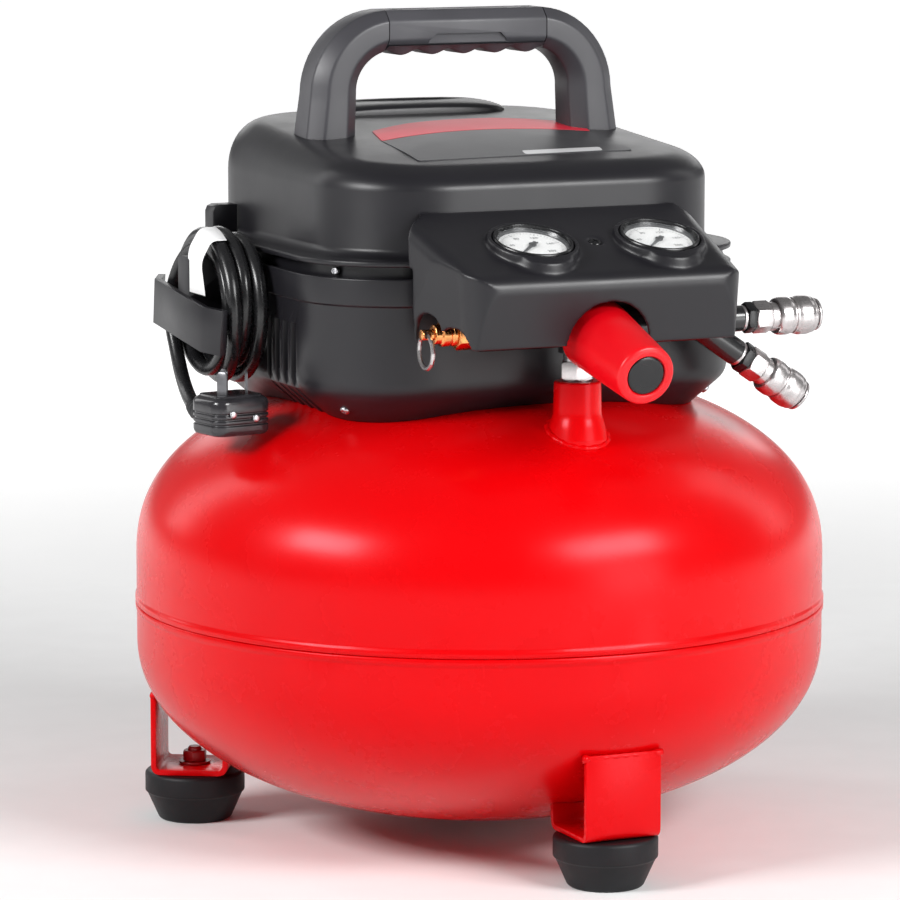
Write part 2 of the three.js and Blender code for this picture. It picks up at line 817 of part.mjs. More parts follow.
// The arch that the handle's section follows, from the foot of one leg to the other.
function handlePath() {
  const foot = roofHeight - 2;
  const points = [];
  const addCorner = (sign) => {
    const corner = [];
    for (let step = 0; step <= 5; step += 1) {
      const angle = radians(90 * (step / 5));
      corner.push({
        x: sign * (handleHalfSpan - handleBend + handleBend * Math.cos(angle)),
        z: barMiddle - handleBend + handleBend * Math.sin(angle),
        tilt: angle,
        sign,
      });
    }
    return corner;
  };
  points.push({ x: handleHalfSpan * 1.035, z: foot, tilt: 0, sign: 1 });
  points.push(...addCorner(1));
  const mirrored = points.map((point) => ({ ...point, x: -point.x, sign: -1 }));
  return [...points, ...mirrored.reverse()];
}

// A chamfered rectangle; its first half-size lies across the arch, its second along Y.
function chamferedSection(halfAcross, halfDeep, chamfer) {
  return [
    [halfAcross, halfDeep - chamfer], [halfAcross - chamfer, halfDeep],
    [-halfAcross + chamfer, halfDeep], [-halfAcross, halfDeep - chamfer],
    [-halfAcross, -halfDeep + chamfer], [-halfAcross + chamfer, -halfDeep],
    [halfAcross - chamfer, -halfDeep], [halfAcross, -halfDeep + chamfer],
  ];
}

function handleArch() {
  const rings = handlePath().map(({ x, z, tilt, sign }, i, all) => {
    const isFoot = i === 0 || i === all.length - 1;
    const blend = tilt / (Math.PI / 2);
    const across = THREE.MathUtils.lerp(legWidth, barHeight, blend) * (isFoot ? legFlare : 1);
    const deep = handleDepth * (isFoot ? legFlare : 1);
    const chamfer = THREE.MathUtils.lerp(handleChamfer, handleChamfer * 0.75, blend);
    return chamferedSection(across / 2, deep / 2, chamfer).map(([a, d]) => vector(
      x + sign * a * Math.cos(tilt),
      handleY + d,
      z + a * Math.sin(tilt),
    ));
  });
  return loft(rings);
}

const gripSpan = (half, halfAcross, halfDeep, chamfer) => loft([-half, half].map((x) => (
  chamferedSection(halfAcross, halfDeep, chamfer).map(([a, d]) => vector(x, handleY + d, barMiddle + a)))));

const neckHalfAcross = barHeight / 2 - gripWall;
const neckHalfDeep = handleDepth / 2 - gripWall;

function handleFrame() {
  const whole = handleArch();
  const gripRoom = gripSpan(gripHalfLength, barHeight, handleDepth, 2);
  const neck = gripSpan(gripHalfLength + 1, neckHalfAcross, neckHalfDeep, 3);
  return cut(join(cut(whole, gripRoom), neck), upperForm(gap), hump(gap));
}

// The sleeve round the neck, with finger swells under it, is made whole and parted at gripSplit.
function gripSleeve() {
  const length = gripHalfLength - gap;
  const sleeve = gripSpan(length, barHeight / 2, handleDepth / 2, handleChamfer * 0.75);
  const swells = [];
  const pitch = (2 * length) / fingerCount;
  for (let i = 0; i < fingerCount; i += 1) {
    const x = -length + pitch * (i + 0.5);
    const bottom = barMiddle - barHeight / 2;
    const outline = new THREE.Shape([
      pair(x - pitch * 0.42, bottom + 3),
      pair(x - pitch * 0.3, bottom - fingerDepth * 0.7),
      pair(x - pitch * 0.1, bottom - fingerDepth),
      pair(x + pitch * 0.1, bottom - fingerDepth),
      pair(x + pitch * 0.3, bottom - fingerDepth * 0.7),
      pair(x + pitch * 0.42, bottom + 3),
    ]);
    swells.push(prism(outline, handleDepth - handleChamfer * 1.6,
      alongY(handleY + handleDepth / 2 - handleChamfer * 0.8)));
  }
  const room = gripSpan(gripHalfLength + 2, neckHalfAcross + gap, neckHalfDeep + gap, 3);
  return cut(join(sleeve, ...swells), room);
}

function gripHalf(isTop) {
  const reach = handleDepth;
  const slab = box(
    vector(-gripHalfLength - 1, handleY - reach, isTop ? gripSplit : gripSplit - reach),
    vector(gripHalfLength + 1, handleY + reach, isTop ? gripSplit + reach : gripSplit - gap),
  );
  return gripSleeve().intersect(slab);
}

// ---------------------------------------------------------------- console

const panelSlope = (consoleRearTop - consoleFrontTop) / (consoleRearY - consoleFrontY);
const panelHeightAt = (y) => consoleRearTop - panelSlope * (consoleRearY - y);

// The console's outline seen from above, at the height of its top.
function consolePlan(inset, rear) {
  const front = consoleFrontY + inset;
  const corner = Math.max(consoleCorner - inset, 2);
  const side = (rearHalf, frontHalf, chamfer) => {
    const points = [pair(rearHalf - chamfer - inset, rear), pair(rearHalf - chamfer - inset, consoleRearY),
      pair(rearHalf - inset, consoleRearY - chamfer * 0.9)];
    for (let step = 0; step <= 4; step += 1) {
      const angle = radians(22.5 * step);
      points.push(pair(frontHalf - inset - corner * (1 - Math.cos(angle)),
        front + corner * (1 - Math.sin(angle))));
    }
    return points;
  };
  const right = side(consoleRightRear, consoleFrontHalf, consoleRightChamfer);
  const left = side(consoleLeftRear, consoleFrontHalf + 2, consoleLeftChamfer).map(({ x, y }) => pair(-x, y));
  return [...right, ...left.reverse()];
}

function consoleForm(inset, bottom, rear) {
  const lowest = consoleBottom - 10;
  const highest = consoleRearTop + 10;
  const plan = consolePlan(inset, rear).reverse();
  const drawIn = (z) => 1 - consoleDraft * (consoleRearTop - z) / 100;
  const level = (z) => plan.map(({ x, y }) => vector(x * drawIn(z), y, z));
  const walls = loft([level(lowest), level(highest)]);
  const front = consoleFrontY + inset;
  const edge = Math.max(consoleEdge - inset, 2);
  const side = new THREE.Shape();
  side.moveTo(rear, bottom);
  side.lineTo(front + consoleLean, bottom);
  side.lineTo(front, consoleFrontTop - inset - edge);
  side.quadraticCurveTo(front, consoleFrontTop - inset, front + edge, panelHeightAt(front + edge) - inset);
  side.lineTo(consoleRearY, consoleRearTop - inset);
  side.lineTo(rear, consoleRearTop - inset);
  const reach = consoleLeftRear + 10;
  return walls.intersect(prism(side, 2 * reach, alongX(-reach), 4)).intersect(consoleRoll(inset, rear));
}

// The panel's long edges roll over into the side walls.
function consoleRoll(inset, rear) {
  const corner = (half, roll, y, sign) => {
    const radius = Math.max(roll - inset, 2);
    const top = panelHeightAt(y) - inset;
    const points = [vector(sign * half, y, consoleBottom - 20)];
    for (let step = 0; step <= 4; step += 1) {
      const angle = radians(22.5 * step);
      const inward = radius * (1 - Math.cos(angle));
      points.push(vector(sign * (half - inward), y, top - radius * (1 - Math.sin(angle))));
    }
    return points;
  };
  const section = (rightHalf, leftHalf, y) => [...corner(rightHalf - inset, consoleRightRoll, y, 1),
    ...corner(leftHalf - inset, consoleLeftRoll, y, -1).reverse()];
  const drawnIn = 1 - consoleDraft * consoleFall / 100;
  return loft([
    section(consoleRightRear, consoleLeftRear, rear),
    section(consoleFrontHalf * drawnIn, (consoleFrontHalf + 2) * drawnIn, consoleFrontY - 5),
  ]);
}

const dialNormal = vector(0, -Math.sin(radians(gaugeTilt)), Math.cos(radians(gaugeTilt)));
const panelForward = vector(0, -Math.cos(radians(gaugeTilt)), -Math.sin(radians(gaugeTilt)));
const gaugePoint = (x) => vector(x, gaugeY, panelHeightAt(gaugeY) + gaugeRise);
const gaugeAlong = (x, distance) => gaugePoint(x).addScaledVector(dialNormal, distance);

const knobAxis = vector(0, -Math.cos(radians(regulatorTilt)), -Math.sin(radians(regulatorTilt)));
const regulatorRoot = vector(0, manifoldY, manifoldHeight + regulatorRise);
const regulatorPoint = (along) => regulatorRoot.clone().addScaledVector(knobAxis, along);

function consoleCover() {
  const podRadius = gaugeRadius + gap + podWall;
  const podDepth = gaugeDepth - 6;
  const pods = gaugeX.map((x) => (
    rod(gaugeAlong(x, -podDepth), gaugePoint(x), podRadius + podFlare, 28, podRadius)));
  const cowls = gaugeX.map((x) => {
    const at = (distance) => gaugeAlong(x, distance).addScaledVector(panelForward, cowlReach);
    return rod(at(-podDepth / 2), at(-cowlDrop), cowlRadius + cowlFlare, 24, cowlRadius);
  });
  const bores = gaugeX.map((x) => rod(gaugeAlong(x, -gaugeDepth * 2), gaugeAlong(x, 5), gaugeRadius + gap, 28));
  const archRadius = knobRearRadius + archClearance;
  const knobArch = join(
    rod(regulatorPoint(knobStart - 8), regulatorPoint(knobEnd), archRadius, 24),
    box(vector(-archRadius, consoleFrontY - 5, consoleBottom - 12),
      vector(archRadius, consoleFrontY + 20, regulatorPoint(46).z)),
  );
  const valveArch = join(
    rod(vector(-consoleLeftRear - 10, valveArchY, valveArchSpring), vector(-consoleFrontHalf + 20, valveArchY,
      valveArchSpring), valveArchRadius, 20),
    box(vector(-consoleLeftRear - 10, valveArchY - valveArchRadius, consoleBottom - 12),
      vector(-consoleFrontHalf + 20, valveArchY + valveArchRadius, valveArchSpring)),
  );
  const valvePort = join(
    rod(manifoldAt(-consoleLeftRear - 10), manifoldAt(-consoleFrontHalf + 20), valvePortRadius, 20),
    box(vector(-consoleLeftRear - 10, manifoldY - valvePortRadius, consoleBottom - 12),
      vector(-consoleFrontHalf + 20, manifoldY + valvePortRadius, manifoldHeight)),
  );
  const outletPort = join(
    rod(manifoldAt(consoleFrontHalf - 20), manifoldAt(consoleRightRear + 10), outletRadius + 2.5, 16),
    box(vector(consoleFrontHalf - 20, manifoldY - outletRadius - 2.5, consoleBottom - 12),
      vector(consoleRightRear + 10, manifoldY + outletRadius + 2.5, manifoldHeight)),
  );
  const notchInner = consoleRightRear - 22;
  const notchFront = centreY - lowerHalfY - consoleNotch;
  const notch = [-1, 1].map((side) => box(
    vector(side < 0 ? -consoleLeftRear - 10 : notchInner, notchFront, consoleBottom - 20),
    vector(side < 0 ? -notchInner : consoleRightRear + 10, consoleRearY + 40, lipBottom + 1),
  ));
  const hollow = consoleForm(consoleWall, consoleBottom - 8, consoleRearY + 30);
  const shell = cut(join(consoleForm(0, consoleBottom, consoleRearY + 14), ...pods, ...cowls), hollow);
  return cut(join(shell, ...pods), ...bores, knobArch, valveArch, valvePort, outletPort, ...notch,
    upperForm(gap), lowerForm(gap, lipBottom + 1));
}

// ---------------------------------------------------------------- gauges

const rimLift = 0.6;
const dialSeat = -dialDrop - dialSheet;
const lensSeat = rimLift - 1 - lensSheet;

function gaugeCase(x) {
  const lensRadius = dialRadius + 1.2;
  const profile = [
    [0, -gaugeDepth], [gaugeRadius - 3, -gaugeDepth], [gaugeRadius, -gaugeDepth + 3],
    [gaugeRadius, rimLift - 0.8], [gaugeRadius - 0.8, rimLift], [lensRadius + gap, rimLift],
    [lensRadius + gap, lensSeat - gap], [dialRadius + gap, lensSeat - gap],
    [dialRadius + gap, dialSeat - gap], [0, dialSeat - gap],
  ];
  return turned(profile, gaugePoint(x), dialNormal, 24);
}

function gaugeDial(x) {
  return rod(gaugeAlong(x, dialSeat), gaugeAlong(x, dialSeat + dialSheet), dialRadius, 24);
}

function gaugeNeedle(x) {
  const outline = new THREE.Shape([
    pair(-needleWidth, -needleTail), pair(needleWidth, -needleTail),
    pair(needleWidth * 0.3, needleLength), pair(-needleWidth * 0.3, needleLength),
  ]);
  const flat = new THREE.Matrix4()
    .makeRotationZ(radians(-needleRestAngle))
    .setPosition(0, 0, 0);
  const tilt = new THREE.Matrix4().makeRotationX(radians(gaugeTilt));
  const base = gaugeAlong(x, dialSeat + dialSheet + gap);
  const place = new THREE.Matrix4().makeTranslation(base.x, base.y, base.z).multiply(tilt).multiply(flat);
  const blade = prism(outline, needleSheet, place);
  const hub = rod(base, base.clone().addScaledVector(dialNormal, needleSheet + 0.3), needleWidth * 1.6, 12);
  return join(blade, hub);
}

function gaugeLens(x) {
  return rod(gaugeAlong(x, lensSeat), gaugeAlong(x, lensSeat + lensSheet), dialRadius + 1.2, 24);
}

// ---------------------------------------------------------------- manifold, regulator, safety valve

const manifoldAt = (x) => vector(x, manifoldY, manifoldHeight);
const branchDirection = vector(Math.cos(radians(branchAngle)), 0, Math.sin(radians(branchAngle)));
const branchAt = (along) => manifoldAt(branchX).addScaledVector(branchDirection, along);
const plusX = vector(1, 0, 0);

const bossFoot = manifoldHeight - manifoldRadius - manifoldBoss;

function manifoldBlock() {
  const regulatorRoom = rod(regulatorPoint(regulatorSeat), regulatorPoint(regulatorSeat + bonnetLength),
    bonnetRadius + gap, 20);
  const block = join(
    rod(manifoldAt(manifoldLeft), manifoldAt(manifoldRight), manifoldRadius, 20),
    rod(manifoldAt(manifoldRight - 1), manifoldAt(outletEnd), outletRadius, 16),
    rod(branchAt(0), branchAt(branchLength), outletRadius, 16),
    rod(regulatorPoint(-2), regulatorPoint(regulatorSeat), bonnetRadius - 2, 20),
    rod(manifoldAt(0), manifoldAt(0).setZ(bossFoot), nippleRadius + manifoldBoss, 16),
  );
  return cut(block, regulatorRoom);
}

function outletBung() {
  const base = vector(0, manifoldY, tankSurfaceAt(-manifoldY + bungFlare) - 4);
  const height = bungTop - base.z;
  const flareHeight = 14;
  const bore = nippleRadius + gap;
  const profile = [
    [bore, 0], [bungFlare + 2, 0], [bungFlare, flareHeight * 0.6], [bungRadius, flareHeight + 4],
    [bungRadius, height - 1], [bungRadius - 1, height], [bore, height], [bore, 0],
  ];
  return cut(turned(profile, base, upAxis, 24), tankTrim);
}

function manifoldNipple() {
  const top = bossFoot - gap;
  const nutBase = bungTop + gap;
  const at = (z) => vector(0, manifoldY, z);
  return join(
    rod(at(bungTop - 12), at(top), nippleRadius, 16),
    rod(at(nutBase), at(nutBase + nippleNutHeight), nippleNut, 6),
  );
}

function regulatorBody() {
  const start = regulatorSeat + gap;
  return join(
    rod(regulatorPoint(start), regulatorPoint(start + bonnetLength - 4), bonnetRadius, 20),
    rod(regulatorPoint(start + bonnetLength - 4), regulatorPoint(start + bonnetLength), bonnetRadius, 20,
      bonnetRadius - 3),
    rod(regulatorPoint(start), regulatorPoint(start + bonnetLength + spindleLength), spindleRadius, 12),
  );
}

const spindleEnd = regulatorSeat + gap + bonnetLength + spindleLength;

function regulatorKnob() {
  const length = knobEnd - knobStart;
  const innerRadius = bonnetRadius + 1;
  const roof = regulatorSeat + bonnetLength + 2 - knobStart;
  const socket = spindleEnd + gap - knobStart;
  const recess = length - knobCapSheet;
  const profile = [
    [innerRadius, 0], [knobRearRadius - 1, 0], [knobRearRadius, 1],
    [knobFrontRadius + 0.6, length - knobRim], [knobFrontRadius - 0.4, length - 0.8],
    [knobFrontRadius - knobRim * 0.6, length], [knobCapRadius + gap, length],
    [knobCapRadius + gap, recess - gap],
    [0, recess - gap], [0, socket], [spindleRadius + gap, socket], [spindleRadius + gap, roof],
    [innerRadius, roof], [innerRadius, 0],
  ];
  return turned(profile, regulatorPoint(knobStart), knobAxis, 24);
}

function knobCap() {
  return rod(regulatorPoint(knobEnd - knobCapSheet), regulatorPoint(knobEnd - 0.4), knobCapRadius, 24);
}

const valveSeat = manifoldLeft - gap;
const valveNutEnd = valveSeat - valveNutLength;
const valveBodyEnd = valveNutEnd - valveBodyLength;
const valveEnd = valveBodyEnd - valveNeckLength;

function safetyValveBody() {
  const bore = (radius) => rod(manifoldAt(valveBodyEnd + 4), manifoldAt(valveEnd - 1), radius, 12);
  const body = join(
    rod(manifoldAt(valveNutEnd), manifoldAt(valveSeat), valveNutRadius, 6),
    rod(manifoldAt(valveBodyEnd), manifoldAt(valveNutEnd), valveRadius, 18),
    rod(manifoldAt(valveEnd), manifoldAt(valveBodyEnd + 1), valveNeckRadius, 16),
  );
  return cut(body, bore(stemRadius + gap));
}

const ringPoint = manifoldAt(valveEnd - stemLength * 0.55);
const ringCentre = vector(ringPoint.x, ringPoint.y, ringPoint.z - ringRadius);

function safetyValveStem() {
  const stem = rod(manifoldAt(valveBodyEnd + 4 - gap), manifoldAt(valveEnd - stemLength), stemRadius, 12);
  const slot = rod(ringPoint.clone().add(vector(0, -stemRadius - 1, 0)),
    ringPoint.clone().add(vector(0, stemRadius + 1, 0)), ringWire + gap * 3, 10);
  return cut(stem, slot);
}

function pullRing() {
  const circle = new THREE.TorusGeometry(ringRadius, ringWire, 6, 20);
  circle.rotateY(Math.PI / 2);
  circle.translate(ringCentre.x, ringCentre.y, ringCentre.z);
  return solidOf(circle);
}

// ---------------------------------------------------------------- quick couplers

const sleeveStart = gap + couplerCollarLength + sealLength + couplerHexLength + sleeveTravel + sleeveClearance;

const couplerLength = sleeveStart + sleeveLength + noseClearance + couplerNoseLength;

function couplerBody(at) {
  const collar = gap + couplerCollarLength;
  const seal = collar + sealLength;
  const hex = seal + couplerHexLength;
  const body = join(
    rod(at(gap), at(collar), couplerCollarRadius, 12),
    rod(at(collar), at(seal), sealRadius - 0.6, 6),
    rod(at(seal), at(hex), couplerHexRadius, 6),
    rod(at(hex), at(couplerLength), couplerBarrelRadius, 12),
    rod(at(couplerLength - couplerNoseLength), at(couplerLength), couplerNoseRadius + 1.2, 12,
      couplerNoseRadius),
  );
  return cut(body, rod(at(couplerLength - couplerBoreDepth), at(couplerLength + 1), couplerBore, 12));
}

function couplerSleeve(at, direction) {
  const inner = couplerBarrelRadius + gap;
  const swell = (share, drop) => [sleeveRadius - drop, sleeveLength * share];
  const profile = [
    [inner, 0], swell(0, 1.4), swell(0.05, 0.5), swell(0.15, 0.3), swell(0.27, 0.5),
    swell(0.38, sleeveWaist), swell(0.5, sleeveWaist), swell(0.6, 0.4), swell(0.7, 0), swell(0.8, 0.2),
    swell(0.9, 1), swell(1, 2.4), [inner, sleeveLength], [inner, 0],
  ];
  return turned(profile, at(sleeveStart), direction, 16);
}

const upperCouplerAt = (along) => manifoldAt(outletEnd + along);
const lowerCouplerAt = (along) => branchAt(branchLength + along);

// ---------------------------------------------------------------- drain valve

const drainRise = radians(drainDip);
const drainDirection = vector(
  Math.cos(radians(drainAngle)) * Math.cos(drainRise),
  Math.sin(radians(drainAngle)) * Math.cos(drainRise),
  Math.sin(drainRise),
);
const lowerSurfaceAt = (radius) => lowerSpring
  - (lowerSpring - tankBottom) * (1 - (radius / tankRadius) ** lowerBulge) ** (1 / lowerBulge);
const drainPoint = vector(
  drainReach * Math.cos(radians(drainAngle)),
  drainReach * Math.sin(radians(drainAngle)),
  lowerSurfaceAt(drainReach),
);
const drainAt = (along) => drainPoint.clone().addScaledVector(drainDirection, along);

function drainValveBody() {
  const boss = cut(rod(drainAt(-8), drainAt(drainBossLength), drainBossRadius, 18), tankTrim);
  const bodyEnd = drainBossLength + drainBodyLength;
  const valve = rod(drainAt(drainBossLength - 1), drainAt(bodyEnd), drainBodyRadius, 6);
  const bore = rod(drainAt(drainBossLength + 4), drainAt(bodyEnd + 1),
    drainSpindleRadius + gap, 12);
  return cut(join(boss, valve), bore);
}

function drainValveHandle() {
  const seat = drainBossLength + drainBodyLength + gap;
  const spindle = rod(drainAt(drainBossLength + 4 + gap), drainAt(seat + drainWingHeight),
    drainSpindleRadius, 12);
  const side = new THREE.Vector3().crossVectors(drainDirection, upAxis).normalize();
  const normal = new THREE.Vector3().crossVectors(drainDirection, side);
  const frame = new THREE.Matrix4().makeBasis(side, drainDirection, normal.negate());
  const base = drainAt(seat).addScaledVector(normal, drainWingSheet / 2);
  frame.setPosition(base.x, base.y, base.z);
  const half = drainWingSpan / 2;
  const wing = new THREE.Shape([
    pair(-4.5, 0), pair(4.5, 0), pair(half, 3), pair(half, drainWingHeight),
    pair(5, drainWingHeight - 2), pair(-5, drainWingHeight - 2), pair(-half, drainWingHeight), pair(-half, 3),
  ]);
  return join(spindle, prism(wing, drainWingSheet, frame));
}

// ---------------------------------------------------------------- pump

const crankAt = (x, dy = 0, dz = 0) => vector(x, crankY + dy, shaftHeight + dz);
const minusY = vector(0, -1, 0);
const boreAt = (y) => vector(0, y, shaftHeight);
const crankcaseFront = crankY - cavityHalf - crankcaseWall;
const cylinderEnd = crankcaseFront - cylinderLength;

// The base plate, its two legs and the crankcase are one casting.
function pumpFrame() {
  return join(pumpPlate(), crankcase());
}

function pumpPlate() {
  const bottom = plateTop - plateSheet;
  const legHalfY = plateHalfY - plateLegInset;
  const legLow = tankSurfaceAt(Math.hypot(plateHalfX, plateCentreY + legHalfY)) - 6;
  const plate = box(vector(-plateHalfX, plateCentreY - plateHalfY, bottom),
    vector(plateHalfX, plateCentreY + plateHalfY, plateTop));
  const legs = [-1, 1].map((side) => {
    const outer = side * plateHalfX;
    const inner = side * (plateHalfX - plateSheet);
    return box(vector(Math.min(outer, inner), plateCentreY - legHalfY, legLow),
      vector(Math.max(outer, inner), plateCentreY + legHalfY, bottom + 1));
  });
  return cut(join(plate, ...legs), tankTrim);
}

function crankcase() {
  const high = shaftHeight + cavityHalf + crankcaseWall;
  const block = box(vector(crankcaseLeft, crankcaseFront, plateTop - 1),
    vector(crankcaseRight, crankY + cavityHalf + crankcaseWall, high));
  const cavity = rod(crankAt(crankcaseLeft + 6), crankAt(crankcaseRight - bearingWall), cavityHalf, 24);
  const bearing = rod(crankAt(0), crankAt(crankcaseRight + 1), crankShaftRadius + gap, 16);
  const window = rod(boreAt(crankcaseFront - 1), boreAt(crankY - 6), boreRadius - 4, 20);
  const cover = rod(crankAt(crankcaseLeft - 1), crankAt(0), 14, 20);
  return cut(block, cavity, bearing, window, cover);
}

function cylinder() {
  const outer = boreRadius + cylinderWall;
  const profile = [[boreRadius, 0], [outer, 0]];
  const pitch = (cylinderLength - gap) / (finCount + 1);
  for (let i = 1; i <= finCount; i += 1) {
    const middle = i * pitch;
    profile.push([outer, middle - finSheet / 2], [outer + finReach, middle - finSheet / 2],
      [outer + finReach, middle + finSheet / 2], [outer, middle + finSheet / 2]);
  }
  profile.push([outer, cylinderLength - gap], [boreRadius, cylinderLength - gap], [boreRadius, 0]);
  return turned(profile, boreAt(crankcaseFront - gap), minusY, 20);
}

const portY = cylinderEnd - gap - (headDepth - headFinDepth) / 2;
const checkValveY = portY;
const checkValveBase = tankSurfaceAt(Math.hypot(checkValveX, checkValveY));
const checkValveTop = checkValveBase + checkValveHeight;
const checkValveAt = (z) => vector(checkValveX, checkValveY, z);
const tubeHeight = checkValveTop + tubeRise;
const tubePort = vector(headHalf, portY, tubeHeight);

function cylinderHead() {
  const seat = cylinderEnd - gap;
  const face = seat - headDepth;
  const outline = new THREE.Shape();
  const pitch = (2 * headHalf - headFinSheet) / (headFinCount - 1);
  outline.moveTo(-headHalf, seat);
  for (let i = 0; i < headFinCount; i += 1) {
    const left = -headHalf + i * pitch;
    outline.lineTo(left, i === 0 ? face : face + headFinDepth);
    if (i > 0) outline.lineTo(left, face);
    outline.lineTo(left + headFinSheet, face);
    if (i < headFinCount - 1) outline.lineTo(left + headFinSheet, face + headFinDepth);
  }
  outline.lineTo(headHalf, seat);
  const depth = 2 * headHalf;
  const place = new THREE.Matrix4().makeTranslation(0, 0, shaftHeight - headHalf);
  const socket = rod(tubePort.clone().setX(headHalf - 8), tubePort.clone().setX(headHalf + 1),
    tubeRadius + gap, 12);
  return cut(prism(outline, depth, place), socket);
}

function piston() {
  const crown = cylinderEnd + 1.5;
  const outer = boreRadius - gap;
  const inner = outer - pistonWall;
  const profile = [
    [0, 0], [outer - 1, 0], [outer, 1], [outer, pistonLength], [inner, pistonLength], [inner, pistonCrown],
    [0, pistonCrown],
  ];
  return turned(profile, boreAt(crown), vector(0, 1, 0), 20);
}

const crankPinY = -crankThrow;
const wristY = crankY - crankThrow - rodLength;

function connectingRod() {
  const half = rodSheet / 2;
  const big = crankAt(0, crankPinY);
  const small = vector(0, wristY, shaftHeight);
  const across = (point, x) => point.clone().setX(x);
  const shank = box(vector(-half, wristY, shaftHeight - rodWidth / 2),
    vector(half, big.y - crankPinRadius, shaftHeight + rodWidth / 2));
  const body = join(
    rod(across(big, -half), across(big, half), rodBigEnd, 20),
    rod(across(small, -half), across(small, half), rodSmallEnd, 16),
    shank,
    rod(across(small, -wristPinLength / 2), across(small, wristPinLength / 2), wristPinRadius, 12),
  );
  return cut(body, rod(across(big, -half - 1), across(big, half + 1), crankPinRadius + gap, 16));
}

function crankshaft() {
  const discLeft = rodSheet / 2 + gap * 2;
  const discRight = discLeft + crankDiscSheet;
  const shaft = rod(crankAt(discLeft), crankAt(pulleyStart + pulleyWidth + 4), crankShaftRadius, 16);
  const disc = rod(crankAt(discLeft), crankAt(discRight), crankDiscRadius, 24);
  const lighten = box(crankAt(discLeft - 1, -crankDiscRadius, crankPinRadius + 3),
    crankAt(discRight + 1, 0, crankDiscRadius));
  const lightenBelow = box(crankAt(discLeft - 1, -crankDiscRadius, -crankDiscRadius),
    crankAt(discRight + 1, 0, -crankPinRadius - 3));
  const pin = rod(crankAt(-rodSheet / 2 - 1, crankPinY), crankAt(discLeft + 1, crankPinY), crankPinRadius, 16);
  return join(cut(disc, lighten, lightenBelow), shaft, pin);
}

function flywheelPulley() {
  const bore = crankShaftRadius + gap;
  const hub = bore + 6;
  const rimInner = flywheelRadius - flywheelRim;
  const web = (pulleyWidth - 5) / 2;
  const profile = [
    [bore, 0], [hub, 0], [hub, web], [rimInner, web], [rimInner, 0], [flywheelRadius, 0],
    [flywheelRadius, pulleyWidth], [rimInner, pulleyWidth], [rimInner, pulleyWidth - web],
    [hub, pulleyWidth - web], [hub, pulleyWidth], [bore, pulleyWidth], [bore, 0],
  ];
  return turned(profile, crankAt(pulleyStart), plusX, 24);
}

// The loop that a belt makes round two pulleys, drawn in (y, z).
function beltLoop(grow) {
  const large = flywheelRadius + grow;
  const small = motorPulleyRadius + grow;
  const lean = Math.asin((large - small) / (motorY - crankY));
  const loop = new THREE.Shape();
  loop.absarc(crankY, shaftHeight, large, Math.PI / 2 - lean, 1.5 * Math.PI + lean, false);
  loop.absarc(motorY, shaftHeight, small, -Math.PI / 2 + lean, Math.PI / 2 - lean, false);
  return loop;
}

function driveBelt() {
  const width = pulleyWidth - 4;
  const place = alongX(pulleyStart + 2);
  const outer = prism(beltLoop(gap + beltSheet), width, place, 10);
  const room = prism(beltLoop(gap), width + 2, alongX(pulleyStart + 1), 10);
  return cut(outer, room);
}

const motorAt = (x) => vector(x, motorY, shaftHeight);

function motorHousing() {
  const bore = motorShaftRadius + gap;
  const length = motorRight - motorLeft;
  const profile = [
    [bore, 0], [motorNeck, 0], [motorNeck + 2, 3], [motorRadius - 3, 5], [motorRadius, 9],
    [motorRadius, length - 9], [motorRadius - 3, length - 5], [motorNeck + 2, length - 3],
    [motorNeck, length], [bore, length], [bore, 0],
  ];
  const foot = box(vector(motorLeft + motorFootInset, motorY - motorFootHalf, plateTop + gap),
    vector(motorRight - motorFootInset, plateCentreY + plateHalfY, shaftHeight - motorRadius + motorFootSink));
  const clear = rod(motorAt(motorLeft - 1), motorAt(motorRight + 1), motorShaftRadius + gap, 16);
  return cut(join(turned(profile, motorAt(motorLeft), plusX, 20), foot), clear);
}

function motorShaft() {
  return join(
    rod(motorAt(fanLeft), motorAt(pulleyStart + pulleyWidth + 2), motorShaftRadius, 16),
    rod(motorAt(pulleyStart), motorAt(pulleyStart + pulleyWidth), motorPulleyRadius, 20),
  );
}

function coolingFan() {
  const width = fanWidth;
  const left = fanLeft + 1;
  const parts = [rod(motorAt(left), motorAt(left + width), fanHub, 20)];
  for (let i = 0; i < fanBlades; i += 1) {
    const blade = box(vector(left, -fanBladeSheet / 2, fanHub - 2),
      vector(left + width, fanBladeSheet / 2, fanRadius));
    parts.push(blade.rotate([(360 / fanBlades) * i, 0, 0]).translate([0, motorY, shaftHeight]));
  }
  return cut(join(...parts), rod(motorAt(left - 1), motorAt(left + width + 1), motorShaftRadius + gap, 16));
}

function checkValve() {
  const body = join(
    rod(checkValveAt(checkValveBase - 6), checkValveAt(checkValveBase + 8), checkValveRadius - 1, 16),
    rod(checkValveAt(checkValveBase + 7), checkValveAt(checkValveTop), checkValveRadius, 6),
  );
  const socket = rod(checkValveAt(checkValveTop - 6), checkValveAt(checkValveTop + 1), tubeRadius + gap, 12);
  return cut(body, tankTrim, socket);
}

// The delivery tube leaves the side of the head and turns down into the check valve.
function transferTube() {
  const bend = checkValveX - headHalf - 5;
  const above = vector(checkValveX, checkValveY, tubeHeight - bend);
  const beside = vector(checkValveX - bend, tubePort.y, tubeHeight);
  const elbow = vector(checkValveX, checkValveY, tubeHeight);
  const route = new THREE.CurvePath();
  route.add(new THREE.LineCurve3(tubePort.clone().setX(headHalf - 7), beside));
  route.add(new THREE.QuadraticBezierCurve3(beside, elbow, above));
  route.add(new THREE.LineCurve3(above, checkValveAt(checkValveTop - 5)));
  return route;
}

// ---------------------------------------------------------------- pressure switch

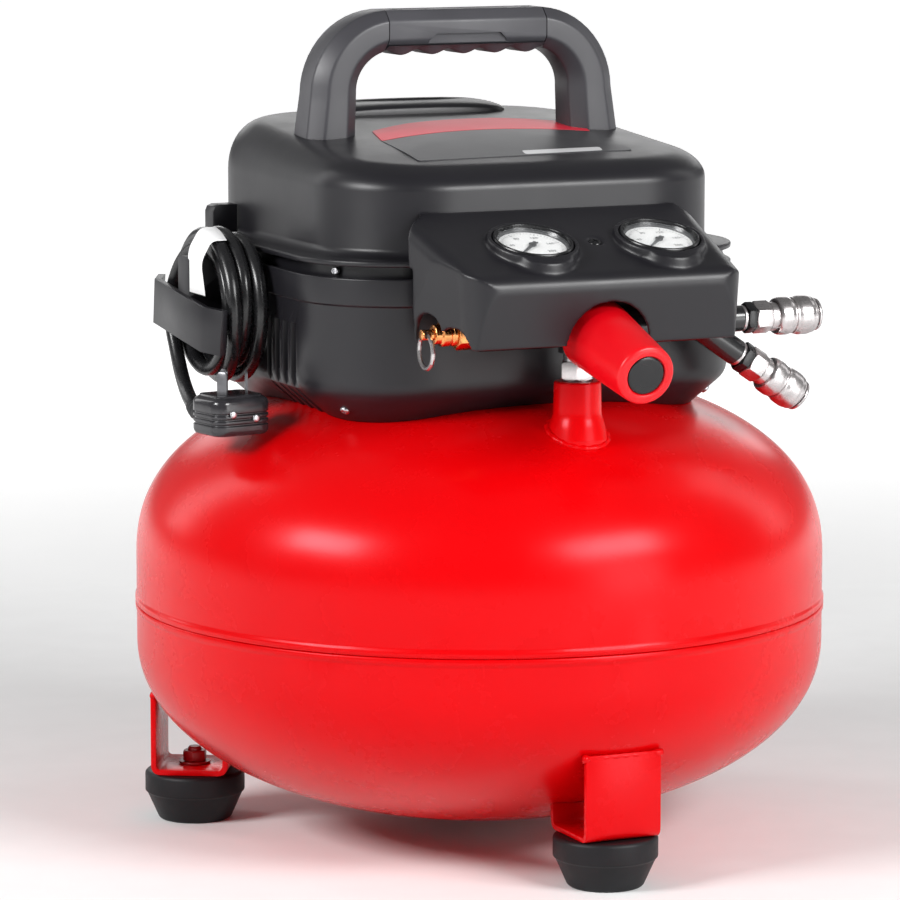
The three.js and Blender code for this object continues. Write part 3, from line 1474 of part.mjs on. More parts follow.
function pressureSwitch() {
  const face = rearWall - shroudWall - gap;
  const bodyBox = box(vector(-switchHalf, face - switchDepth, switchHeight - switchHalfHeight),
    vector(switchHalf, face, switchHeight + switchHalfHeight));
  const pocket = box(
    vector(-rockerWidth / 2 - gap, face - rockerDepth - gap, switchHeight - rockerHeight / 2 - 2),
    vector(rockerWidth / 2 + gap, face + 1, switchHeight + rockerHeight / 2 + 2),
  );
  return cut(bodyBox, pocket);
}

const rockerPivot = vector(0, rearWall - shroudWall, switchHeight);

// A shallow V seen from the side, pressed flat at its lower half.
function switchRocker() {
  const face = rearWall + rockerProud;
  const half = rockerHeight / 2 - 0.6;
  const heel = rockerPivot.y - rockerDepth * 0.55;
  const outline = new THREE.Shape([
    pair(heel, switchHeight - 2), pair(face - 2.4, switchHeight - half), pair(face - 1.6, switchHeight),
    pair(face, switchHeight + half), pair(face - 2.5, switchHeight + half), pair(heel, switchHeight + 2),
  ]);
  const width = rockerWidth - 1;
  return prism(outline, width, alongX(-width / 2));
}

// ---------------------------------------------------------------- cord

const shroudLeft = -(lowerHalfX + lowerBandStep);
const coilInner = coilRadius - cordRadius - 2 * cordRadius * coilNesting;
const coilOuter = coilRadius + cordRadius;
const coilWidth = (coilTurns - 1) * coilPitch + 2 * cordRadius;
const hookFace = shroudLeft - gap - hookReach;
const coilRight = hookFace - gap;
const coilLeft = coilRight - coilWidth;
const plateInner = coilLeft - 2 * cordRadius - 2 * gap;
const coilAt = (x, degrees, radius = coilRadius) => vector(x,
  coilY + radius * Math.cos(radians(degrees)), coilHeight + radius * Math.sin(radians(degrees)));

function hookPad() {
  const top = coilHeight + coilInner - gap;
  const back = shroudLeft - gap;
  return join(
    box(vector(hookFace, hookPadFront, hookPadBottom), vector(back, hookPadFront + hookPadLength, top)),
    box(vector(hookFace, hookPadFront, top - hookArmDrop), vector(back, fingerFront + fingerLength, top)),
  );
}

// The finger rises from the pad's arm and turns in over the upper shroud's lip.
function hookFinger() {
  const wall = -upperHalfX - 1.5 - gap;
  const overLip = lipTop + 2 * gap + 0.5;
  const foot = coilHeight;
  return prism([
    pair(wall, overLip), pair(wall, fingerTop), pair(hookFace + fingerEdge, fingerTop),
    pair(hookFace + fingerEdge * 0.3, fingerTop - fingerEdge * 0.3), pair(hookFace, fingerTop - fingerEdge),
    pair(hookFace, foot + hookArmDrop / 2), pair(shroudLeft - gap, foot + hookArmDrop / 2),
    pair(shroudLeft - gap, overLip),
  ], fingerLength, alongY(fingerFront + fingerLength));
}

// The saddle carries the coil, and the outer plate with its turned-in ends keeps the coil on.
function cordHook() {
  const postTop = coilHeight + coilInner - gap;
  const saddle = rod(vector(plateInner - 1, coilY, coilHeight), vector(hookFace + 1, coilY, coilHeight),
    coilInner - gap, 32);
  const post = saddle.intersect(box(vector(plateInner - 2, coilY - hookPostHalf, postTop - hookPostHeight),
    vector(hookFace + 2, coilY + hookPostHalf, postTop)));
  const turn = radians(hookPlateTurn);
  const endRun = hookPlateEnd * Math.cos(turn);
  const endIn = hookPlateEnd * Math.sin(turn);
  const outer = plateInner - hookPlateSheet;
  const plan = new THREE.Shape([
    pair(plateInner, -hookPlateHalf), pair(plateInner, hookPlateHalf),
    pair(plateInner + endIn, hookPlateHalf + endRun), pair(outer + endIn, hookPlateHalf + endRun + 1),
    pair(outer, hookPlateHalf + 1), pair(outer, -hookPlateHalf - 1),
    pair(outer + endIn, -hookPlateHalf - endRun - 1), pair(plateInner + endIn, -hookPlateHalf - endRun),
  ]);
  const place = new THREE.Matrix4().makeTranslation(0, hookPlateY, hookPlateCentre)
    .multiply(new THREE.Matrix4().makeRotationX(radians(hookPlateTilt)))
    .multiply(new THREE.Matrix4().makeTranslation(0, 0, -hookPlateHeight / 2));
  return join(hookPad(), hookFinger(), post, prism(plan, hookPlateHeight, place));
}

// The arm of the gland points along the line on which the cord runs straight onto the coil.
const glandElbow = vector(coilRight - cordRadius, glandY, glandHeight);
const glandFromCoil = Math.hypot(glandY - coilY, glandHeight - coilHeight);
const glandLength = Math.sqrt(glandFromCoil ** 2 - coilRadius ** 2) - leadFree;
const leadAngle = degrees(Math.atan2(glandHeight - coilHeight, glandY - coilY)
  - Math.acos(coilRadius / glandFromCoil));
const glandDirection = coilAt(glandElbow.x, leadAngle).sub(glandElbow).normalize();

function cordGland() {
  const wide = glandTip + glandFlare;
  const wallAt = (distance) => glandPoint.clone().addScaledVector(outward, distance);
  const knuckle = new THREE.SphereGeometry(wide, 16, 10);
  knuckle.translate(glandElbow.x, glandElbow.y, glandElbow.z);
  return join(
    rod(wallAt(gap), wallAt(gap + glandFlangeSheet), glandFlange, 18),
    rod(wallAt(gap), glandElbow, wide, 16),
    solidOf(knuckle),
    rod(glandElbow, glandElbow.clone().addScaledVector(glandDirection, glandLength), wide, 16, glandTip),
    rod(wallAt(-shroudWall - 1), wallAt(1), glandTip, 16),
  );
}

function cordCoil() {
  const ring = [
    [coilInner, 0], [coilOuter, 0], [coilOuter, coilWidth], [coilInner, coilWidth], [coilInner, 0],
  ];
  return turned(ring, vector(coilLeft, coilY, coilHeight), plusX, 32);
}

const plugX = coilLeft - plugReach;
const plugInner = plugWidth * 0.55;
const plugFloor = tankSurfaceAt(-plugX - plugInner) + plugClearance;
const hookPlateCentre = plugFloor + plugDepth + pinLength + plateOverPlug + hookPlateHeight / 2;
const plugPoint = vector(plugX, coilY + plugOffset, plugFloor + plugDepth / 2);
const plugMouth = vector(plugEntry, plugHeight / 2 + gap, -2)
  .applyAxisAngle(upAxis, radians(plugTurn)).add(plugPoint);

// The free length of cord winds outward from the coil and down to the plug.
function cordToPlug() {
  const startX = coilLeft - gap - cordRadius;
  const backward = vector(1, 0, 0).applyAxisAngle(upAxis, radians(plugTurn + 90));
  const intoPlug = plugMouth.clone().addScaledVector(backward, 3 * cordRadius);
  const endAngle = degrees(Math.atan2(intoPlug.z - coilHeight, intoPlug.y - coilY));
  const endRadius = Math.hypot(intoPlug.z - coilHeight, intoPlug.y - coilY);
  const points = [];
  for (let step = 0; step < tailSteps; step += 1) {
    const share = step / tailSteps;
    const swing = share ** tailSpread;
    points.push(coilAt(THREE.MathUtils.lerp(startX, intoPlug.x, swing),
      THREE.MathUtils.lerp(tailAngle, endAngle, share), THREE.MathUtils.lerp(tailRadius, endRadius, swing)));
  }
  return [...points, intoPlug, plugMouth];
}

function cordTube(points, steps) {
  const curve = new THREE.CatmullRomCurve3(points, false, 'centripetal');
  const section = new THREE.Shape();
  section.absarc(0, 0, cordRadius, 0, 2 * Math.PI, false);
  const geometry = new THREE.ExtrudeGeometry(section, { steps, curveSegments: 10, extrudePath: curve });
  return solidOf(geometry);
}

function tubeAlong(curve, radius, steps) {
  const section = new THREE.Shape();
  section.absarc(0, 0, radius, 0, 2 * Math.PI, false);
  return solidOf(new THREE.ExtrudeGeometry(section, { steps, curveSegments: 8, extrudePath: curve }));
}

// Drawn about its own centre with the pins towards -Y, then stood up so that they point at the sky.
function powerPlug() {
  const half = plugWidth / 2;
  const tall = plugHeight / 2;
  const face = new THREE.Shape();
  face.moveTo(-half + 6, -tall);
  face.lineTo(half - 6, -tall);
  face.quadraticCurveTo(half, -tall, half, -tall + 6);
  face.lineTo(half, tall - 10);
  face.quadraticCurveTo(half, tall, half - 10, tall);
  face.lineTo(-half + 6, tall);
  face.quadraticCurveTo(-half, tall, -half, tall - 6);
  face.lineTo(-half, -tall + 6);
  face.quadraticCurveTo(-half, -tall, -half + 6, -tall);
  const body = prism(face, plugDepth, alongY(plugDepth / 2), 4);
  const pin = box(vector(-pinSheet / 2, -plugDepth / 2 - pinLength, -pinWidth / 2),
    vector(pinSheet / 2, -plugDepth / 2 + 1, pinWidth / 2));
  const live = [-1, 1].map((side) => pin.rotate([0, side * pinSplay, 0])
    .translate([side * pinSpread, 0, pinRise]));
  return join(body, ...live, pin.translate([0, 0, earthRise])).rotate([-90, 0, 0]).rotate([0, 0, plugTurn])
    .translate([plugPoint.x, plugPoint.y, plugPoint.z]);
}

// ---------------------------------------------------------------- assembly

const assembly = new THREE.Group();

function add(name, solid, { color, roughness, metalness }) {
  const material = new THREE.MeshStandardMaterial({ color, roughness, metalness });
  const mesh = new THREE.Mesh(geometryOf(solid), material);
  mesh.name = name;
  assembly.add(mesh);
}

add('tank_lower_shell', tankShell(false), redPaint);
add('tank_upper_shell', tankShell(true), redPaint);

const bracketSolid = footBracket();
const footSolid = rubberFoot();
const boltSolid = footBolt();
for (const [place, angle] of Object.entries(footAngles)) {
  const turn = angle - footAngles.front;
  add(`foot_bracket_${place}`, turnedAboutZ(bracketSolid, turn), redPaint);
  add(`rubber_foot_${place}`, turnedAboutZ(footSolid, turn), blackRubber);
  add(`foot_bolt_${place}`, turnedAboutZ(boltSolid, turn), redPaint);
}

add('drain_valve_body', drainValveBody(), brass);
add('drain_valve_handle', drainValveHandle(), brass);

add('pump_frame', pumpFrame(), castAlloy);
add('cylinder', cylinder(), castAlloy);
add('cylinder_head', cylinderHead(), castAlloy);
add('piston', piston(), castAlloy);
add('connecting_rod', connectingRod(), castAlloy);
add('crankshaft', crankshaft(), zinc);
add('flywheel_pulley', flywheelPulley(), castAlloy);
add('drive_belt', driveBelt(), blackRubber);
add('motor_housing', motorHousing(), darkTrim);
add('motor_shaft', motorShaft(), zinc);
add('cooling_fan', coolingFan(), blackPlastic);
add('check_valve', checkValve(), brass);
add('transfer_tube', tubeAlong(transferTube(), tubeRadius, 24), copper);
add('pressure_switch', pressureSwitch(), darkTrim);
add('switch_rocker', switchRocker(), redPlastic);

add('lower_shroud', lowerShroud(), blackPlastic);
add('upper_shroud', upperShroud(), blackPlastic);
add('handle_frame', handleFrame(), blackPlastic);
add('handle_grip_upper', gripHalf(true), greyPlastic);
add('handle_grip_lower', gripHalf(false), greyPlastic);

add('console_cover', consoleCover(), blackPlastic);
gaugeX.forEach((x, i) => {
  const place = i === 0 ? 'tank' : 'outlet';
  add(`${place}_gauge_case`, gaugeCase(x), darkTrim);
  add(`${place}_gauge_dial`, gaugeDial(x), whiteFace);
  add(`${place}_gauge_needle`, gaugeNeedle(x), darkTrim);
  add(`${place}_gauge_lens`, gaugeLens(x), clearGlass);
});

add('outlet_bung', outletBung(), redPaint);
add('manifold_nipple', manifoldNipple(), nickel);
add('manifold_block', manifoldBlock(), darkTrim);
add('regulator_body', regulatorBody(), darkTrim);
add('regulator_knob', regulatorKnob(), redPlastic);
add('knob_cap', knobCap(), blackPlastic);
add('safety_valve_body', safetyValveBody(), brass);
add('safety_valve_stem', safetyValveStem(), brass);
add('safety_pull_ring', pullRing(), nickel);
add('upper_coupler_body', couplerBody(upperCouplerAt), nickel);
add('upper_coupler_sleeve', couplerSleeve(upperCouplerAt, plusX), nickel);
add('lower_coupler_body', couplerBody(lowerCouplerAt), nickel);
add('lower_coupler_sleeve', couplerSleeve(lowerCouplerAt, branchDirection), nickel);

add('cord_hook', cordHook(), blackPlastic);
add('cord_gland', cordGland(), blackRubber);
add('power_cord_coil', cordCoil(), blackRubber);
add('power_cord_tail', cordTube(cordToPlug(), 12), blackRubber);
add('power_plug', powerPlug(), darkTrim);

// The frame's origin is on the floor, under the middle of everything but the cord.
const cordNodes = ['power_cord_coil', 'power_cord_tail', 'power_plug'];
const extent = new THREE.Box3();
for (const mesh of assembly.children) {
  if (!cordNodes.includes(mesh.name)) extent.expandByObject(mesh);
}
const middle = extent.getCenter(new THREE.Vector3());
for (const mesh of assembly.children) mesh.geometry.translate(-middle.x, -middle.y, -extent.min.z);

export default assembly;
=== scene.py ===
"""A pancake air compressor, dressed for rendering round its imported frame.

Lengths below are millimetres measured from the tank's axis and the floor, and every mesh is
carried into the frame's metres when it is made. +Z is up and the gauge console faces -Y.
"""
import json
import math
from contextlib import contextmanager

import bmesh
import bpy
from mathutils import Matrix, Vector, noise


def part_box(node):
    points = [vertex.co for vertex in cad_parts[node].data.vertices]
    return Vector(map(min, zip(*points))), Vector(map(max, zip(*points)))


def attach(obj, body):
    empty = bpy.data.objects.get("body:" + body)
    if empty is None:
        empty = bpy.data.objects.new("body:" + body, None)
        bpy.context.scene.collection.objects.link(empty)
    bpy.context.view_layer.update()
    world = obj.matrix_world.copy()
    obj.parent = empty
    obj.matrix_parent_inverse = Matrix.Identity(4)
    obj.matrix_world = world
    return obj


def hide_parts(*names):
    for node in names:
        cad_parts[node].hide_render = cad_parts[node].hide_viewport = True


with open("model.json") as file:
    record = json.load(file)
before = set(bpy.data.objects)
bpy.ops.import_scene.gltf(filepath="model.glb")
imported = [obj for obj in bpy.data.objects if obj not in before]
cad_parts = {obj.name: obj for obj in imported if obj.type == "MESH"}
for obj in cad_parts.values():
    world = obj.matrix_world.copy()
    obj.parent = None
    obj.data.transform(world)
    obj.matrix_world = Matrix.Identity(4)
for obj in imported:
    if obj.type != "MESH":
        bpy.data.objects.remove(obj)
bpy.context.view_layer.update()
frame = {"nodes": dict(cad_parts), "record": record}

MM = 0.001                                       # a millimetre in the frame's metres
CHASSIS = "chassis"
X, Z = Vector((1, 0, 0)), Vector((0, 0, 1))
WHITE = (1, 1, 1, 1)


# ------------------------------------------------------------------ places taken from the frame

tank_low, tank_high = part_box("tank_upper_shell")
AXIS_Y = (tank_low.y + tank_high.y) / 2          # the tank's axis in the frame, metres


def to_frame(point):
    return Vector((point[0] * MM, point[1] * MM + AXIS_Y, point[2] * MM))


def node_mm(node):
    """A node's lowest and highest corners in this script's millimetres."""
    low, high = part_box(node)
    shift = Vector((0, AXIS_Y, 0))
    return (low - shift) / MM, (high - shift) / MM


GAP = 0.3                                        # clearance between neighbouring pieces
SEAM_LIP = 1.0
TANK_RADIUS = (tank_high.x - tank_low.x) / 2 / MM - SEAM_LIP
TANK_TOP = node_mm("tank_upper_shell")[1].z
TANK_BOTTOM = node_mm("tank_lower_shell")[0].z
SEAM = node_mm("tank_upper_shell")[0].z

# ------------------------------------------------------------------ materials


class Nodes:
    """A material's node tree, written from left to right."""

    def __init__(self, name):
        self.material = bpy.data.materials.new(name)
        self.material.use_nodes = True
        self.tree = self.material.node_tree
        self.shader = self.tree.nodes["Principled BSDF"]
        self.object = self.add("ShaderNodeTexCoord").outputs["Object"]

    def add(self, kind, **sockets):
        node = self.tree.nodes.new(kind)
        for name, value in sockets.items():
            node.inputs[name.replace("_", " ")].default_value = value
        return node

    def link(self, start, end):
        self.tree.links.new(start, end)

    def set(self, **sockets):
        for name, value in sockets.items():
            self.shader.inputs[name.replace("_", " ")].default_value = value

    def noise(self, scale, detail=4.0, roughness=0.55, stretch=None):
        node = self.add("ShaderNodeTexNoise", Scale=scale, Detail=detail, Roughness=roughness)
        source = self.object
        if stretch:
            mapping = self.add("ShaderNodeMapping", Scale=stretch)
            self.link(source, mapping.inputs["Vector"])
            source = mapping.outputs["Vector"]
        self.link(source, node.inputs["Vector"])
        return node.outputs["Fac"]

    def ramp(self, source, stops):
        node = self.add("ShaderNodeValToRGB")
        for element, (at, color) in zip(node.color_ramp.elements, stops):
            element.position = at
            element.color = (*color, 1.0)
        self.link(source, node.inputs["Fac"])
        return node.outputs["Color"]

    def remap(self, source, low, high):
        node = self.add("ShaderNodeMapRange", From_Min=0.3, From_Max=0.7, To_Min=low, To_Max=high)
        self.link(source, node.inputs["Value"])
        return node.outputs["Result"]

    def bump(self, height, strength, distance, after=None):
        node = self.add("ShaderNodeBump", Strength=strength, Distance=distance)
        self.link(height, node.inputs["Height"])
        if after is not None:
            self.link(after, node.inputs["Normal"])
        return node.outputs["Normal"]


def finish_material(name, color, roughness, metallic=0.0, grain=(900, 0.1, 0.0002), mottle=0.12,
                    mottle_scale=25, rough_spread=0.06, coat=0.0, specular=0.5, stretch=None,
                    waves=None, tint=None):
    """A finish with cloudy colour, uneven gloss, a fine surface grain and, on paint, long waves."""
    nodes = Nodes(name)
    cloud = nodes.noise(mottle_scale, 5)
    dark = tuple(c * (1 - mottle) for c in color)
    light = tuple(min(1.0, c * (1 + mottle)) for c in color)
    nodes.link(nodes.ramp(cloud, [(0.35, dark), (0.65, light)]), nodes.shader.inputs["Base Color"])
    smear = nodes.noise(mottle_scale * 2.3, 6, 0.6, stretch)
    nodes.link(nodes.remap(smear, max(0.02, roughness - rough_spread), roughness + rough_spread),
               nodes.shader.inputs["Roughness"])
    scale, strength, depth = grain
    normal = nodes.bump(nodes.noise(scale, 3, 0.5, stretch), strength, depth)
    if waves:
        scale, strength, depth = waves
        normal = nodes.bump(nodes.noise(scale, 2), strength, depth, normal)
    nodes.link(normal, nodes.shader.inputs["Normal"])
    nodes.set(Metallic=metallic, Specular_IOR_Level=specular)
    if tint:
        nodes.set(Specular_Tint=(*tint, 1.0))
    if coat:
        nodes.set(Coat_Weight=coat, Coat_Roughness=0.1)
    return nodes.material


def glass_material(name):
    """A thin clear window: mostly see-through, with a glossy skin."""
    nodes = Nodes(name)
    nodes.set(Base_Color=(0.9, 0.93, 0.95, 1), Specular_IOR_Level=1.0, Coat_Weight=1.0, Coat_Roughness=0.02)
    nodes.link(nodes.remap(nodes.noise(60, 3), 0.02, 0.06), nodes.shader.inputs["Roughness"])
    nodes.link(nodes.remap(nodes.noise(35, 4), 0.06, 0.12), nodes.shader.inputs["Alpha"])
    return nodes.material


LABEL = dict(grain=(1500, 0.06, 0.0001), mottle=0.02, rough_spread=0.01)

# Each finish: its colour, its roughness, and what differs from finish_material's usual values.
FINISHES = {
    "red_paint": ((0.60, 0.0004, 0.0016), 0.27, dict(
        grain=(420, 0.05, 0.0003), waves=(28, 0.02, 0.001), mottle=0.03, mottle_scale=9, specular=0.42,
        rough_spread=0.03, tint=(1.0, 0.28, 0.33))),
    "black_plastic": ((0.0095, 0.009, 0.0115), 0.37, dict(
        grain=(1900, 0.20, 0.0001), mottle=0.08, mottle_scale=14, rough_spread=0.03, specular=0.42)),
    "dark_trim": ((0.006, 0.006, 0.007), 0.26, dict(grain=(1500, 0.10, 0.0001), mottle=0.15)),
    "black_metal": ((0.010, 0.010, 0.011), 0.22, dict(grain=(600, 0.12, 0.0002), mottle=0.2, coat=0.3)),
    "grip_grey": ((0.052, 0.051, 0.058), 0.46, dict(grain=(2300, 0.25, 0.0001), mottle=0.06)),
    "red_plastic": ((0.68, 0.0008, 0.006), 0.34, dict(
        grain=(1700, 0.14, 0.0001), mottle=0.04, mottle_scale=16, rough_spread=0.03, specular=0.4)),
    "black_rubber": ((0.0045, 0.0045, 0.006), 0.50, dict(
        specular=0.35, grain=(1300, 0.35, 0.0002), mottle=0.18, mottle_scale=60)),
    "cord_jacket": ((0.010, 0.010, 0.011), 0.27, dict(
        grain=(800, 0.10, 0.0001), mottle=0.2, mottle_scale=80)),
    "nickel": ((0.60, 0.57, 0.57), 0.30, dict(
        metallic=1.0, grain=(260, 0.06, 0.0002), mottle=0.10, mottle_scale=180, stretch=(1, 7, 7))),
    "zinc": ((0.55, 0.55, 0.57), 0.34, dict(
        metallic=1.0, grain=(500, 0.2, 0.0002), mottle=0.2, mottle_scale=150)),
    "brass": ((0.84, 0.36, 0.13), 0.24, dict(
        metallic=1.0, grain=(700, 0.12, 0.0002), mottle=0.15, mottle_scale=220, rough_spread=0.08)),
    "cast_alloy": ((0.36, 0.37, 0.39), 0.55, dict(
        metallic=0.9, grain=(700, 0.5, 0.0005), mottle=0.2, mottle_scale=90)),
    "motor_iron": ((0.03, 0.03, 0.032), 0.5, dict(metallic=0.3, grain=(600, 0.4, 0.0004), mottle=0.2)),
    "white_face": ((0.88, 0.88, 0.87), 0.5, dict(grain=(900, 0.05, 0.0001), mottle=0.015)),
    "copper": ((0.72, 0.33, 0.17), 0.32, dict(
        metallic=1.0, grain=(500, 0.2, 0.0002), mottle=0.2, mottle_scale=120)),
    "paper_tag": ((0.86, 0.86, 0.86), 0.35, dict(grain=(700, 0.08, 0.0002), mottle=0.02)),
    # Painted shade: a darker copy of the red paint, for the bolts that sit in shade under the tank.
    "shaded_red_paint": ((0.20, 0.0004, 0.0016), 0.36, dict(
        grain=(420, 0.08, 0.0003), mottle=0.08, mottle_scale=40)),
    "dial_ink": ((0.05, 0.05, 0.055), 0.5, dict(grain=(900, 0.05, 0.0001), mottle=0.05)),
    "plug_gloss": ((0.022, 0.021, 0.024), 0.18, dict(
        grain=(600, 0.10, 0.0002), mottle=0.2, mottle_scale=60)),
    "label_film": ((0.030, 0.030, 0.034), 0.42, LABEL),
    "label_white": ((0.55, 0.55, 0.56), 0.4, LABEL),
    "label_red": ((0.62, 0.006, 0.030), 0.42, LABEL),
    # Painted sheen: a lighter copy of the black plastic, for the handle, which catches more light than the
    # shrouds.
    "handle_painted_sheen": ((0.040, 0.039, 0.045), 0.40, dict(
        grain=(1900, 0.20, 0.0001), mottle=0.05, mottle_scale=14, rough_spread=0.03)),
    "pin_steel": ((0.16, 0.16, 0.17), 0.34, dict(
        metallic=0.9, grain=(500, 0.1, 0.0002), mottle=0.1, mottle_scale=150)),
}
MATERIALS = {name: finish_material(name, color, roughness, **more)
             for name, (color, roughness, more) in FINISHES.items()}
MATERIALS["clear_lens"] = glass_material("clear_lens")

# ------------------------------------------------------------------ mesh building


class Shape:
    """Vertices in millimetres and faces, gathered from several forms."""

    def __init__(self, verts=(), faces=()):
        self.verts = [Vector(v) for v in verts]
        self.faces = [tuple(f) for f in faces]

    def __add__(self, other):
        start = len(self.verts)
        return Shape(self.verts + other.verts,
                     self.faces + [tuple(i + start for i in face) for face in other.faces])

    def moved(self, matrix):
        return Shape([matrix @ v for v in self.verts], self.faces)


def axis_frame(base, direction):
    """Local Z along direction, from base."""
    turn = Z.rotation_difference(Vector(direction).normalized())
    return Matrix.Translation(Vector(base)) @ turn.to_matrix().to_4x4()


def lerp(a, b, share):
    return a + (b - a) * share


def bow(start, control, end, t):
    """A point on the curve that leaves start towards control and comes to end from it."""
    return start * (1 - t) ** 2 + control * 2 * t * (1 - t) + end * t ** 2


def angles(count):
    return [2 * math.pi * k / count for k in range(count)]


def quarter(steps):
    """The angles of a quarter turn, with both its ends."""
    return [math.pi / 2 * step / steps for step in range(steps + 1)]


def rounded(points, radius, steps=4, closed=False):
    """A polyline with its corners turned into short arcs. A third value sets a corner's own radius."""
    count = len(points)
    result = []
    for i, point in enumerate(points):
        own = point[2] if len(point) > 2 else radius
        here = Vector(point[:2])
        if (not closed and i in (0, count - 1)) or own <= 0:
            result.append(here)
            continue
        before = Vector(points[i - 1][:2]) - here
        after = Vector(points[(i + 1) % count][:2]) - here
        reach = min(own, before.length * 0.45, after.length * 0.45)
        start = here + before.normalized() * reach
        end = here + after.normalized() * reach
        result += [bow(start, here, end, step / steps) for step in range(steps + 1)]
    return result


def round_rectangle(half_x, half_y, radius, steps, centre=(0, 0)):
    """The arcs of its four corners, as (x, y), each with steps + 1 points."""
    spots = []
    for quarter, (sign_x, sign_y) in enumerate(((1, 1), (-1, 1), (-1, -1), (1, -1))):
        for step in range(steps + 1):
            angle = math.radians(90 * (quarter + step / steps))
            spots.append((centre[0] + sign_x * (half_x - radius) + radius * math.cos(angle),
                          centre[1] + sign_y * (half_y - radius) + radius * math.sin(angle)))
    return spots


def lathe(profile, base=(0, 0, 0), direction=(0, 0, 1), segments=96, fillet=0.0, wobble=None):
    """Turns pairs of radius and distance along the axis."""
    points = rounded(profile, fillet) if fillet else [Vector(p[:2]) for p in profile]
    verts, rows, faces = [], [], []
    for radius, along in points:
        on_axis = radius < 1e-6
        rows.append([len(verts) + k for k in range(1 if on_axis else segments)])
        if on_axis:
            verts.append(Vector((0, 0, along)))
            continue
        for angle in angles(segments):
            r = radius + (wobble(angle, radius, along) if wobble else 0)
            verts.append(Vector((r * math.cos(angle), r * math.sin(angle), along)))
    for low, high in zip(rows, rows[1:]):
        if len(low) == len(high) == 1:
            continue
        for k in range(segments):
            n = (k + 1) % segments
            if len(low) == 1:
                faces.append((low[0], high[k], high[n]))
            elif len(high) == 1:
                faces.append((low[k], high[0], low[n]))
            else:
                faces.append((low[k], high[k], high[n], low[n]))
    return Shape(verts, faces).moved(axis_frame(base, direction))


def loft(rings, closed=False):
    """Skins rings with equal numbers of points, and caps the ends unless the rings close on themselves."""
    count = len(rings[0])
    verts = [v for ring in rings for v in ring]
    faces = []
    pairs = list(zip(range(len(rings)), range(1, len(rings))))
    if closed:
        pairs.append((len(rings) - 1, 0))
    for a, b in pairs:
        for i in range(count):
            n = (i + 1) % count
            faces.append((a * count + i, a * count + n, b * count + n, b * count + i))
    if not closed:
        faces.append(tuple(reversed(range(count))))
        faces.append(tuple(range(len(verts) - count, len(verts))))
    return Shape(verts, faces)


def box(low, high):
    low, high = Vector(low), Vector(high)
    verts = [(x, y, z) for z in (low.z, high.z) for y in (low.y, high.y) for x in (low.x, high.x)]
    faces = [(0, 2, 3, 1), (4, 5, 7, 6), (0, 1, 5, 4), (2, 6, 7, 3), (0, 4, 6, 2), (1, 3, 7, 5)]
    return Shape(verts, faces)


@contextmanager
def edited(mesh):
    """The mesh as a bmesh, written back at the end."""
    work = bmesh.new()
    work.from_mesh(mesh)
    yield work
    work.to_mesh(mesh)
    work.free()


def tidy_normals(mesh):
    with edited(mesh) as work:
        bmesh.ops.remove_doubles(work, verts=work.verts, dist=1e-7)
        bmesh.ops.recalc_face_normals(work, faces=work.faces)


def put(name, data):
    """A new object in the scene."""
    thing = bpy.data.objects.new(name, data)
    bpy.context.scene.collection.objects.link(thing)
    return thing


def raw(shape, name="tool", checked=False):
    """A bare mesh object in the frame's metres."""
    mesh = bpy.data.meshes.new(name)
    mesh.from_pydata([to_frame(v) for v in shape.verts], [], shape.faces)
    if checked:
        mesh.validate()
    tidy_normals(mesh)
    return put(name, mesh)


def make(name, shape, finish, body=CHASSIS, replaces=(), sharp=40):
    """A piece: its mesh, its finish, its body and the solids that it stands for."""
    piece = raw(shape, name, checked=True)
    dress(piece, finish, sharp, body, replaces)
    return piece


def dress(piece, finish, sharp, body=CHASSIS, replaces=()):
    mesh = piece.data
    mesh.shade_smooth()
    if sharp < 180:
        mesh.set_sharp_from_angle(angle=math.radians(sharp))
    mesh.materials.clear()
    mesh.materials.append(MATERIALS[finish])
    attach(piece, body)
    if replaces:
        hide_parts(*([replaces] if isinstance(replaces, str) else replaces))


def apply_modifiers(piece):
    graph = bpy.context.evaluated_depsgraph_get()
    graph.update()
    mesh = bpy.data.meshes.new_from_object(piece.evaluated_get(graph))
    piece.modifiers.clear()
    old = piece.data
    piece.data = mesh
    mesh.name = piece.name
    bpy.data.meshes.remove(old)


def round_edges(piece, width, angle=40, segments=3):
    modifier = piece.modifiers.new("edges", "BEVEL")
    modifier.width = width * MM
    modifier.segments = segments
    modifier.limit_method = "ANGLE"
    modifier.angle_limit = math.radians(angle)
    modifier.miter_outer = "MITER_ARC"
    apply_modifiers(piece)


def boolean(piece, tool, operation):
    modifier = piece.modifiers.new("cut", "BOOLEAN")
    modifier.operation = operation
    modifier.solver = "EXACT"
    modifier.object = tool
    apply_modifiers(piece)
    bpy.data.objects.remove(tool, do_unlink=True)


def cut(piece, shape):
    boolean(piece, raw(shape), "DIFFERENCE")


def join(piece, shape):
    boolean(piece, raw(shape), "UNION")


def keep_inside(piece, shape):
    boolean(piece, raw(shape), "INTERSECT")


def soften(piece, voxel, rounds, factor):
    """Melts the edges of a moulded form by about the voxel times the rounds of smoothing."""
    remesh = piece.modifiers.new("skin", "REMESH")
    remesh.mode = "VOXEL"
    remesh.voxel_size = voxel * MM
    apply_modifiers(piece)
    smooth = piece.modifiers.new("melt", "SMOOTH")
    smooth.factor = factor
    smooth.iterations = rounds
    apply_modifiers(piece)


def from_node(node, finish, body, bevel):
    """A piece that keeps a solid's shape, with its flat faces made whole and its edges rounded."""
    source = frame["nodes"][node]
    mesh = source.data.copy()
    mesh.name = f"{node}_skin"
    mesh.transform(source.matrix_world)
    with edited(mesh) as work:
        bmesh.ops.remove_doubles(work, verts=work.verts, dist=1e-6)
        bmesh.ops.dissolve_limit(work, angle_limit=math.radians(1), verts=work.verts, edges=work.edges)
    mesh.materials.clear()
    piece = put(mesh.name, mesh)
    round_edges(piece, bevel, 35, 2)
    dress(piece, finish, 35, body, node)


# ------------------------------------------------------------------ camera and light

